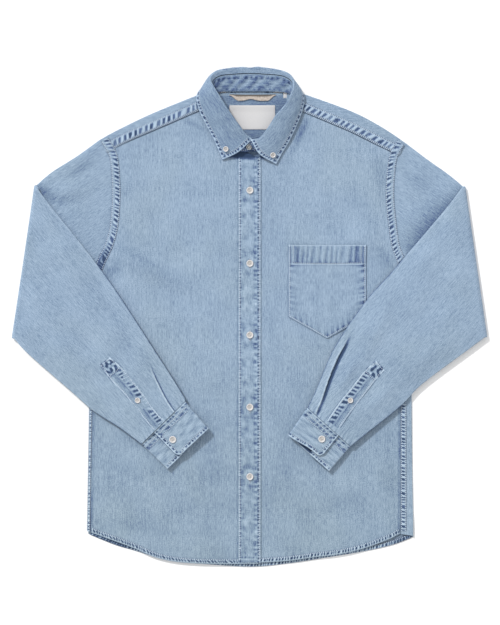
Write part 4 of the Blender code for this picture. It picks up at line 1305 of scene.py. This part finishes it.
def cuff(side):
    """A cuff wrapped flat round the sleeve's end, with its buttoned end lapped over the other."""
    seam = np.array([FOREARM_UPPER[side][-1], FOREARM_LOWER[side][-1]], float)
    hem = np.array(CUFF_HEM[side], float)
    down = (hem[0] - seam[0]) / np.linalg.norm(hem[0] - seam[0])
    width = np.linalg.norm(seam[1] - seam[0])
    depth = np.linalg.norm(hem[0] - seam[0])
    lap_end = width * CUFF_LAP
    grid, wear, grain = [], [], []
    for share in np.linspace(0, 1, 60):
        section = cuff_section(width, 2.2 + 2.4 * share)
        section[:, 1] += 1.8 + 0.6 * share
        across, up, outer = section.T
        on_lap, lower = outer > 0.9, outer < 0.05
        # the lap stops short of the layer under it, and its corner is cut round
        short = CUFF_GAPE[side] * smooth(across / (0.55 * width)) * on_lap
        fall = depth - short
        b = share * fall
        inside_corner = np.clip((b - (fall - CUFF_CORNER)) / CUFF_CORNER, 0, 1)
        corner = np.where(on_lap, CUFF_CORNER * (1 - np.sqrt(1 - inside_corner ** 2)), 0.0)
        squeezed = across - corner * smooth((across - (lap_end - 24.0)) / 24.0)
        across = np.where(on_lap, squeezed, across)
        first, last = (top + down * SEAM + (foot - top - down * SEAM) * (b / depth)[:, None]
                       for top, foot in zip(seam, hem))
        place = first + (last - first) * (across / width)[:, None]
        from_hem = fall - b
        lap_edge = np.where(on_lap, lap_end - corner - across, 1e3)
        edge = np.minimum(from_hem, lap_edge)
        marks = puckers(np.where(lap_edge < from_hem, b, across), edge, 6.6, 81 + side, 0.15)
        top_marks = puckers(across, b, 9.0, 83 + side, 0.4)
        rise = 0.35 * smooth(edge / 2.5) - 0.30 * bump(edge - 5.6, 1.0)
        rise = rise + 0.5 * (marks - 0.5) * np.exp(-edge / 5.0)
        rise = rise + 0.6 * (top_marks - 0.5) * bump(b - 6.0, 5.0) - 0.3 * bump(b - 9.5, 1.0)
        rise = rise + 0.25 * waves(across, b, 26.0, 85 + side) * smooth(edge / 8.0)
        shown = np.where(outer > 0.15, 1.0, 0.0)
        grid.append(np.column_stack([place, up + rise * shown]))
        window = smooth((edge - 1.5) / 0.9) * smooth((5.8 - edge) / 1.4)
        seam_window = bump(b - 3.6, 1.4) + 0.8 * bump(b - 11.0, 1.8)
        dents = patches(marks, b + across, 6.6, 86 + side)
        top_dents = patches(top_marks, across, 9.0, 88 + side)
        tone = (turned_edge(edge, 0.85, 0.9) - 1.20 * dents * window + 0.40 * marks ** 2 * window
                - 1.25 * top_dents * seam_window + turned_edge(b, 0.6, 0.9) + 0.25 * bump(b - 7.6, 1.0)
                - 0.35 * bump(b - 14.5, 1.0) + 0.20 * waves(across, b * 2.5, 22.0, 87 + side))
        # painted shade on the lower layer where it shows under the lap, short of the hem
        tone = tone * shown - 1.0 * lower * smooth((16.0 - from_hem) / 6.0) * smooth(from_hem / 2.5)
        wear.append(tone + 0.6 * lower * bump(from_hem, 1.2))
        grain.append(np.column_stack([b, across]))
    return Cloth(np.array(grid), np.array(grain), np.array(wear))


def sleeve_placket(side):
    """The strip over the sleeve's slit, boxed in stitching at its square end."""
    upper, lower = (soft(line, 2.0) for line in SLEEVE_PLACKET[side])
    rows, columns = 140, 25
    grid, wear, grain = [], [], []
    length, width = walked(upper)[-1], np.linalg.norm(upper[0] - lower[0])
    for step in np.linspace(0, 0.992, rows):
        first, last = along(upper, step), along(lower, step)
        t = np.linspace(0, 1, columns)
        place = first + (last - first) * t[:, None]
        x, y = place.T
        s, a = step * length, t * width
        edge = np.minimum(a, width - a)
        marks = puckers(np.full(columns, s), a, 7.8, 91 + side, 0.55)
        dents = patches(marks, np.full(columns, s), 7.8, 92 + side)
        box = smooth((25.0 - s) / 3.0)
        chaos = waves(x, y, 8.5, 93 + side)
        z = LEVEL[5] + 3.6 + 2.0 * smooth(step / 0.9) + 0.4 * smooth(edge / 2.0)
        z += 0.6 * (marks - 0.5) * np.exp(-a / 8.0) + 0.5 * chaos * box
        grid.append(np.column_stack([x, y, z]))
        window = smooth((a - 2.6) / 1.2) * smooth((11.5 - a) / 2.5)
        tone = (turned_edge(a, 0.85, 1.0) + turned_edge(width - a, 0.85, 1.0) + turned_edge(s, 0.6, 0.9)
                - 1.15 * dents * window * (1 - box * 0.6) + 0.30 * marks ** 2 * window
                - 0.30 * bump(a - 14.0, 1.0) * (1 - box)
                - 1.15 * box * smooth(chaos * 2.2 + 0.1) * smooth(edge / 2.0)
                + 0.30 * box * smooth(-chaos * 2.0) - 0.35 * bump(s - 25.0, 1.2)
                + 0.1 * waves(x, y, 18.0, 95 + side) - 0.14 * smooth((a - 9.0) / 5.0))
        wear.append(tone)
        grain.append(np.column_stack([a, np.full(columns, s)]))
    return Cloth(np.array(grid), np.array(grain), np.array(wear), up=UP)


# ---------------------------------------------------------------- collar
def neckband():
    """The stand, diagonally puckered between its two rows of stitches."""
    rows, columns = 310, 29
    base = spline([row[0] for row in COLLAR], rows)
    top = spline([row[1] for row in COLLAR], rows)
    s = walked(base)[:, None]
    t = np.linspace(0, 1, columns)[None, :]
    plain = base[:, None, :] + (top - base)[:, None, :] * t[..., None]
    height = np.linalg.norm(top - base, axis=1)[:, None]
    folds = puckers(s, t * height, 21.0, 101, -1.0)
    marks = puckers(s, t * height, 8.6, 102, -0.2)
    inside = np.sin(math.pi * np.clip(t, 0, 1)) ** 0.8
    gathered = 0.58 + 0.42 * drift(s, 46.0, 103)
    rise = 2.1 * (folds - 0.5) * inside * gathered - 0.3 * (bump(t - 0.10, 0.04) + bump(t - 0.84, 0.04))
    grid = plain + normals_of(plain) * rise[..., None]
    end_shade = bump(s - 118.0, 24.0) * 0.55 + 0.35 * bump(s - 330.0, 20.0)
    uneven = waves(s + t * height * 0.8, t * height * 1.6, 15.0, 107)
    # painted shade over the whole stand, which lies inside the collar, painted shade in the hollows of its
    # folds and painted light on their ridges, and pucker marks by its stitches
    wear = (-0.30 - 0.44 * patches(folds + 0.3 * uneven, s, 21.0, 104, 0.36) * inside * gathered
            + 0.36 * folds ** 2 * inside + 0.14 * uneven * inside
            - 0.85 * patches(marks, s, 8.6, 105, 0.44) * bump(t - 0.80, 0.08)
            - 0.35 * patches(marks, s, 8.6, 106) * bump(t - 0.12, 0.08)
            + 0.35 * bump(t - 0.99, 0.05) - end_shade)
    # painted shade at the stand's front ends, between the collar's points
    front_end_shade = smooth((40.0 - np.minimum(s, s[-1] - s)) / 10.0)
    wear = wear - 0.45 * front_end_shade
    return Cloth(grid, points_of(t * height, s), wear, up=UP)


def collar_leaf():
    """The turned-down leaf with its two points, edge stitched all round."""
    rows, columns = 370, 52
    high, over, fall, rim = (spline([row[column] for row in COLLAR[1:-1]], rows) for column in range(1, 5))
    plain = []
    for start, crown, half, edge in zip(high, over, fall, rim):
        rise = crown - start
        first = start + rise * min(0.5, 1.5 / np.linalg.norm(rise))
        plain.append(along(spline([first, crown, half, edge], 120), np.linspace(0, 1, columns)))
    plain = np.array(plain)
    s = walked(over)[:, None] * np.ones((1, columns))
    down = walked_rows(plain)
    along_row = walked_rows(plain.transpose(1, 0, 2)).T
    from_edge = down[:, -1:] - down
    from_end = np.minimum(along_row, along_row[-1:] - along_row)
    near = np.minimum(from_edge, from_end)
    run = np.where(from_end < from_edge, down, along_row)
    pitch = np.where(from_end < from_edge, 5.4, 7.3)
    marks = puckers(run / pitch * 7.0, near, 7.0, 111, 0.30)
    window = smooth((near - 1.4) / 0.9) * smooth((6.4 - near) / 1.6)
    rise = 0.25 * smooth(near / 2.0) - 0.30 * bump(near - 5.6, 1.1)
    rise += 0.55 * (marks - 0.5) * bump(near - 3.4, 2.6)
    rise += 0.30 * waves(s, down * 1.4, 42.0, 113) * smooth(near / 14.0)
    back = bump(s - s[-1] / 2, 70.0)
    rise += 0.8 * waves(s, down * 0.5, 26.0, 114) * back * smooth(near / 10.0)
    normal = Cloth(plain, plain[..., :2], up=UP).normal
    wear = (-0.10 - 0.11 * smooth((120.0 - s) / 30.0) + turned_edge(near, 0.85, 0.5)
            - 1.15 * patches(marks, run, 7.0, 112) * window
            + 0.45 * marks ** 2 * window + 0.20 * bump(near - 7.4, 0.8)
            + 0.05 * waves(s, down, 30.0, 115) - 0.05 * back * (0.5 + 0.5 * waves(s, down, 24.0, 116)))
    shaped = plain + normal * rise[..., None]
    shaped[..., 2] = np.maximum(shaped[..., 2], LEAF / 2)
    return Cloth(shaped, points_of(down, s), wear, wall=LEAF, up=UP)


# ---------------------------------------------------------------- labels, loop and buttons
def label(x_range, y_range):
    a, b = np.meshgrid(np.linspace(*x_range, 40), np.linspace(*y_range, 24))
    z = FLOOR_GAP + neck_lift(a, b) + 1.3 + 0.35 * waves(a, b, 60.0, 121)
    rim = np.minimum(np.minimum(a - x_range[0], x_range[1] - a), np.minimum(b - y_range[0], y_range[1] - b))
    z = z - 0.35 * smooth((1.2 - rim) / 1.2)
    return laid(a, b, z, 0.5 * bump(rim, 0.8), wall=0.5)


def hanger_loop():
    """A folded tape sewn in at the neck seam, drooping between its ends."""
    s = np.linspace(0, 1, 90)[:, None]
    t = np.linspace(0, 1, 12)[None, :]
    x = -33.0 + 76.0 * s + 0 * t
    drop = 1.8 + 8.4 * smooth(s / 0.2) * smooth((1 - s) / 0.18) - 3.2 * bump(s - 0.46, 0.12)
    y = 367.0 - 0.8 * np.sin(math.pi * s) - drop * t
    z = FLOOR_GAP + neck_lift(x, y) + 1.6 + 1.6 * np.sin(math.pi * s) * (0.4 + 0.6 * bump(t - 0.12, 0.2))
    # painted shade: a dark line near the tape's top edge and a darker lower edge
    wear = 0.35 - 1.9 * bump(t - 0.12, 0.14) - 0.5 * bump(t - 1.0, 0.08)
    return Cloth(points_of(x, y, z), points_of(t * 8.0, s * 80.0), wear + 0 * s, wall=0.6, up=UP)


# A button's section from its dished middle over the rim to its foot, as shares of its radius and height
BUTTON_SECTION = [(0.56, 0.34), (0.66, 0.42), (0.76, 0.86), (0.86, 0.98), (0.94, 0.92), (1.0, 0.66),
                  (1.0, 0.42), (0.92, 0.16), (0.80, 0.0)]
BUTTON_HEIGHT = 2.3


def button_mesh(name, radius, finish):
    """A four-holed button: a round rim, a dished middle, and holes right through."""
    mesh = bmesh.new()

    def ring(reach, up, steps, centre=(0.0, 0.0)):
        """New corners in a circle."""
        turns = [math.tau * k / steps for k in range(steps)]
        return [mesh.verts.new(((centre[0] + reach * math.cos(turn)) * MM,
                                (centre[1] + reach * math.sin(turn)) * MM,
                                BUTTON_HEIGHT * up * MM)) for turn in turns]

    def wall(low, high):
        """Faces between two rings."""
        for k in range(len(low)):
            other = (k + 1) % len(low)
            mesh.faces.new((low[k], low[other], high[other], high[k]))

    rings = [ring(radius * share, up, 40) for share, up in BUTTON_SECTION]
    for low, high in zip(rings, rings[1:]):
        wall(low, high)
    holes = []
    for rim, up in ((rings[0], BUTTON_SECTION[0][1]), (rings[-1], 0.0)):
        loops = []
        for quarter in range(4):
            turn = math.tau * (quarter + 0.5) / 4
            centre = (radius * 0.24 * math.cos(turn), radius * 0.24 * math.sin(turn))
            loops.append(ring(radius * 0.115, up, 10, centre))
        holes.append(loops)
        edges = []
        for loop in loops + [rim]:
            for k, vertex in enumerate(loop):
                other = loop[(k + 1) % len(loop)]
                edges.append(mesh.edges.get((vertex, other)) or mesh.edges.new((vertex, other)))
        bmesh.ops.triangle_fill(mesh, edges=edges, use_beauty=True, use_dissolve=False)
    for top, foot in zip(*holes):
        wall(top, foot)
    bmesh.ops.recalc_face_normals(mesh, faces=mesh.faces)
    data = bpy.data.meshes.new(name)
    mesh.to_mesh(data)
    mesh.free()
    dish = data.attributes.new("dish", "FLOAT", "POINT")
    for vertex, share in zip(data.vertices, dish.data):
        share.value = float(vertex.co.xy.length < 0.70 * radius * MM)
    data.materials.append(finish)
    data.shade_smooth()
    data.set_sharp_from_angle(angle=math.radians(50))
    made = bpy.data.objects.new(name, data)
    bpy.context.scene.collection.objects.link(made)
    return made


def sew_button(node, place, up, radius, turn, finish, threads):
    """A button in its CAD node's place, sewn on with two parallel bars of thread."""
    made = button_mesh(node + "_sewn", radius, finish)
    tilt = Vector((0, 0, 1)).rotation_difference(Vector(up)).to_matrix().to_4x4()
    placed = Matrix.Translation(Vector(place) * MM) @ tilt @ Matrix.Rotation(turn, 4, "Z")
    made.data.transform(placed)
    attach(made, "root")
    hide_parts(node)
    side, ahead, normal = (np.array(placed.to_3x3().col[axis]) for axis in (0, 1, 2))
    reach = radius * 0.17
    base = np.array(place) + normal * 1.15
    for aside in (-reach, reach):
        for shift in (-0.22, 0.22):
            across = base + side * (aside + shift)
            threads.one(across - ahead * reach, across + ahead * reach, normal)


def buttonhole(threads, centre, direction, length):
    """A worked slit: fine bars across both lips and a bar at each end."""
    up = np.array(UP, float)
    ahead = np.array([*direction, 0.0]) / np.linalg.norm(direction)
    side = np.cross(up, ahead)
    centre = np.array(centre)
    for share in np.linspace(-0.5, 0.5, 13):
        middle = centre + ahead * length * share
        for lip in (-1, 1):
            threads.one(middle + side * lip * 0.1, middle + side * lip * 1.3, up)
    for end in (-0.56, 0.56):
        middle = centre + ahead * length * end
        threads.one(middle - side * 1.5, middle + side * 1.5, up)


def settle(piece, slot, *nodes):
    """Makes a piece ride with the shirt and stand for its CAD nodes.  Its slot is not used."""
    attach(piece, "root")
    if nodes:
        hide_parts(*nodes)


SIDE_BAND = {-1: 4.4, 1: 9.2}       # how much of each side seam's band shows
HEM_SKEW = {-1: 0.9, 1: -0.3}       # lean of the puckers in each front's hem


def clipped(outline, low, high):
    """The part of a smooth outline that lies between two places in X."""
    line = soft(outline, 2.0)
    return line[(line[:, 0] > low) & (line[:, 0] < high)]


def seam_bands(side):
    """The felled seams and the hem of one half of the shirt, and the shares of each band's width
    where its stitches run."""
    armhole = soft(ARMHOLE[side], 2.0) - np.array([side * ARMHOLE_TUCK, 0])
    shoulder = soft(SHOULDER_SEAM[side], 2.0) + np.array([0, 0.7])
    yoke_front = FLOOR_GAP + OVER * LAYER + 0.9

    def on_front(x, y):
        seam_y = y_at(SHOULDER_SEAM[side], x)
        on_yoke = smooth((y - seam_y + 1.0) / 3.0)
        over_yoke = yoke_front + 1.4 + neck_lift(x, y)
        return (front_height(x, y) + BAND_GAP) * (1 - on_yoke) + over_yoke * on_yoke

    def on_wrap(x, y):
        bent = (HEM_TURN_Y - y) / (HEM_TURN_Y - y_at(FRONT_HEM[side], x))
        row = HEM_TURN_Y + (HEM_ROW_Y - HEM_TURN_Y) * bent
        return FLOOR_GAP + LAYER * (OVER + hem_opening(row, side == 1)) + BAND_GAP

    def on_shoulder(x, y):
        return yoke_front + neck_lift(x, y)

    def on_hem(x, y):
        return front_height(x, y) + BAND_GAP

    # painted shade on the armhole seam towards the armpit
    def armpit_shade(x, y):
        return -ARMPIT_SHADE[side] * smooth((ARMPIT_TOP[side] - y) / 42.0)

    bands = {}
    band = felled_band(armhole[:-2], 14.0, side, on_front, 201 + side, pitch=6.4, depth=0.9, skew=0.45,
                       gutter=0.40, window=(0.40, 0.88), dark=1.10, pale=0.62, shade=armpit_shade)
    bands["armhole"] = band, (0.10, 0.93)
    band = felled_band(shoulder, 15.0, -side, on_shoulder, 205 + side, pitch=9.8, depth=0.9, skew=0.5 * side,
                       window=(0.26, 0.80), dark=0.95, pale=0.50)
    bands["shoulder"] = band, (0.08, 0.20, 0.94)
    seam_rows = np.linspace(-353, UNDERARM_Y[side] - 10, 90)
    seam = points_of(x_at(SIDE_SEAM[side], seam_rows) + side * 0.4, seam_rows)
    band = felled_band(seam, SIDE_BAND[side], -side, on_wrap, 211 + side, pitch=6.0, depth=0.4, skew=0.2,
                       window=(0.12, 0.72), level=0.5, dark=1.5)
    bands["side_seam"] = band, (0.12, 0.88)
    low, high = sorted((float(x_at(SIDE_SEAM[side], -355)), FRONT_EDGE[side]))
    band = felled_band(clipped(FRONT_HEM[side], low, high), 7.8, 1, on_hem, 215 + side, pitch=5.0, depth=0.6,
                       skew=HEM_SKEW[side], window=(0.26, 0.68), pale=0.6, dark=2.2)
    bands["hem"] = band, (0.86,)
    return bands


def hem_shadow(x, y):
    """Painted shadow on the back's hem where the front's hem hangs over it, at its two ends."""
    return -1.0 * smooth((-180.0 - x) / 30.0) * smooth((x + 266.0) / 12.0) - 0.7 * smooth((x - 222.0) / 22.0)


def sew_seams(cloth, stitches):
    """Bands over the seams and hems, as pieces that go with the cloth they lie on."""
    for side, word in SIDES:
        for name, (band, shares) in seam_bands(side).items():
            stitch_columns(stitches, band, shares)
            settle(band.build(f"{name}_band_{word}", cloth), "denim")
    back_hem = clipped(BACK_HEM, SIDE[-1][0][0] + 2.5, SIDE[1][0][0] - 2.0)
    band = felled_band(back_hem, 6.6, 1, lambda x, y: FLOOR_GAP + 0.6 + 0 * x, 221, pitch=5.0, depth=0.5,
                       skew=-0.3, window=(0.08, 0.72), pale=0.5, dark=1.5, shade=hem_shadow)
    stitch_columns(stitches, band, (0.86,))
    settle(band.build("hem_band_back", cloth), "denim")


def lay(shape, node, finish, slot="denim"):
    """Makes the cloth that stands for a CAD node."""
    settle(shape.build(f"{node}_cloth", finish), slot, node)
    return shape


def sew_body(cloth, stitches):
    """The back, yoke, fronts, placket and pocket, with their seams."""
    lay(back_panel(), "back_panel", cloth)
    lay(yoke(), "yoke", cloth)
    for side, word in SIDES:
        lay(front(side), f"front_{word}", cloth)
    sew_seams(cloth, stitches)
    band = lay(placket(), "front_placket", cloth)
    for edge, inset in (("near", 2.2), ("far", 2.4)):
        stitches.on(band, band.beside(edge, inset, 2.0))
    patch = lay(pocket(), "pocket", cloth)
    for edge in ("near", "far", "last"):
        stitches.on(patch, patch.beside(edge, 2.6, 2.0), pits=0.8)
    stitches.on(patch, patch.beside("first", POCKET_HEM - 2.5, 4.0))
    for edge in ("near", "far"):
        stitches.on(patch, patch.beside(edge, 8.5, 1.0, reach=POCKET_HEM - 3), pits=0)


def sew_sleeve(side, word, cloth, stitches):
    """A sleeve with its cuff and the strip over its slit."""
    lay(sleeve(side), f"sleeve_{word}", cloth)
    wrap = lay(cuff(side), f"cuff_{word}", cloth)
    stitches.on(wrap, wrap.beside("near", 5.6, 14.0), pits=0.8)
    lap_end, under_start = CUFF_COLUMNS[0] - 1, sum(CUFF_COLUMNS[:4]) + 1
    for edge, inset, trim, pits in (("last", 5.6, 3.0, 0.8), ("first", 7.6, 5.0, 0.6),
                                    ("first", 14.0, 5.0, 0.6)):
        line = wrap.beside(edge, inset, trim)
        stitches.on(wrap, [place for place in line if place[1] < lap_end], pits=pits)
        stitches.on(wrap, [place for place in line if place[1] > under_start], pits=pits)
    strip = lay(sleeve_placket(side), f"sleeve_placket_{word}", cloth)
    for edge in ("near", "far"):
        stitches.on(strip, strip.beside(edge, 2.9, 2.0), pits=0.5)
    for inset in (2.4, 25.0):
        stitches.on(strip, strip.beside("first", inset, 2.0), pits=0.8)


def sew_collar(cloth, stitches):
    """The stand and the leaf, and the labels and loop inside the neck."""
    stand = lay(neckband(), "neckband", cloth)
    leaf = lay(collar_leaf(), "collar_leaf", cloth)
    for edge, inset in (("near", 2.6), ("far", 3.2)):
        stitches.on(stand, stand.beside(edge, inset, 3.0))
    for edge in ("first", "far", "last"):
        stitches.on(leaf, leaf.beside(edge, 6.2, 6.0), pits=0.8)
    label_cloth = woven("label_cloth", (0.60, 0.595, 0.60), 0.5, 0.12)
    lay(label((-33.0, 42.0), (309.5, 349.0)), "neck_label", label_cloth, "label")
    lay(label((56.0, 67.0), (361.0, 371.0)), "size_label", label_cloth, "label")
    tape_cloth = woven("tape_cloth", (0.54, 0.475, 0.42), 0.9, 0.80)
    lay(hanger_loop(), "hanger_loop", tape_cloth, "tape")


def sew_buttons(worked, bars):
    """Every button and the worked holes that show."""
    pearl = button_shell("pearl_resin", (0.68, 0.665, 0.66))
    for number, y in enumerate(FRONT_BUTTON_Y, start=1):
        z = float(front_height(BUTTON_X, y, 2)) + 1.2
        buttonhole(worked, (BUTTON_X, y - 1.0, z + 0.1), (0, 1), 15.0)
        sew_button(f"front_button_{number}", (BUTTON_X, y, z), UP, BUTTON_R, 0.3 * number, pearl, bars)
    for side, word in SIDES:
        for kind, radius, lift, slit in (("cuff", BUTTON_R, 6.4, 13.0),
                                         ("sleeve", SMALL_BUTTON_R, 6.2, 11.0)):
            (x, y), direction = SLEEVE_BUTTONS[kind, side]
            place = (x, y, LEVEL[5] + lift)
            buttonhole(worked, place, direction, slit)
            sew_button(f"{kind}_button_{word}", place, UP, radius, 0.4, pearl, bars)
    for node, place, up in COLLAR_BUTTONS:
        sew_button(node, place, up, SMALL_BUTTON_R, 0.5, pearl, bars)
    shaded_pearl = button_shell("shaded_pearl_resin", (0.27, 0.29, 0.30))
    sew_button("neckband_button", (-0.8, 279.6, 9.6), (0, -0.22, 1), SMALL_BUTTON_R, 0.1, shaded_pearl, bars)


def sew_shirt():
    cloth = denim("washed_denim")
    stitches, worked, bars = Stitching(), Stitching(0.36), Stitching(0.3)
    sew_body(cloth, stitches)
    for side, word in SIDES:
        sew_sleeve(side, word, cloth, stitches)
    sew_collar(cloth, stitches)
    sew_buttons(worked, bars)
    settle(bars.build("button_threads", thread("white_thread", (0.72, 0.69, 0.66))), "button")
    settle(stitches.build("seam_stitches", thread("pale_blue_thread", (0.56, 0.65, 0.76))), "denim")
    settle(worked.build("buttonhole_threads", thread("buttonhole_thread", (0.42, 0.50, 0.61))), "denim")
    settle(stitches.build_pits("needle_pits", cloth), "denim")


def studio():
    """A pale floor, a soft key from the upper left and an even sky, seen from straight above."""
    bpy.ops.mesh.primitive_plane_add(size=8.0, location=(0, 0, -0.0004))
    floor = bpy.context.object
    floor.name = "floor"
    shader = Shader("pale_floor")
    floor.data.materials.append(shader.finish(Base_Color=(0.93, 0.93, 0.93, 1.0), Roughness=0.9,
                                              Specular_IOR_Level=0.1))
    sun = bpy.data.lights.new("key", "SUN")
    sun.energy, sun.angle = 2.55, math.radians(7)
    lamp = bpy.data.objects.new("key", sun)
    bpy.context.scene.collection.objects.link(lamp)
    lamp.rotation_mode = "QUATERNION"
    lamp.rotation_quaternion = Vector((0.62, -0.78, -0.82)).to_track_quat("-Z", "Y")
    world = bpy.data.worlds.new("sky")
    bpy.context.scene.world = world
    world.use_nodes = True
    world.node_tree.nodes["Background"].inputs["Color"].default_value = (1.0, 1.0, 1.0, 1.0)
    world.node_tree.nodes["Background"].inputs["Strength"].default_value = 0.82
    camera = bpy.data.cameras.new("camera")
    seen = bpy.data.objects.new("camera", camera)
    bpy.context.scene.collection.objects.link(seen)
    height, view_height = 4.0, 625 * 1.65 * MM      # the view is 625 lines high, each 1.65 mm of floor
    camera.sensor_fit, camera.sensor_height, camera.sensor_width = "AUTO", 36.0, 36.0
    camera.lens = camera.sensor_height * height / view_height
    camera.clip_end = 50.0
    seen.location = (0.0008, 0.0074, height)
    bpy.context.scene.camera = seen
    bpy.context.scene.view_settings.view_transform = "Standard"


sew_shirt()
studio()
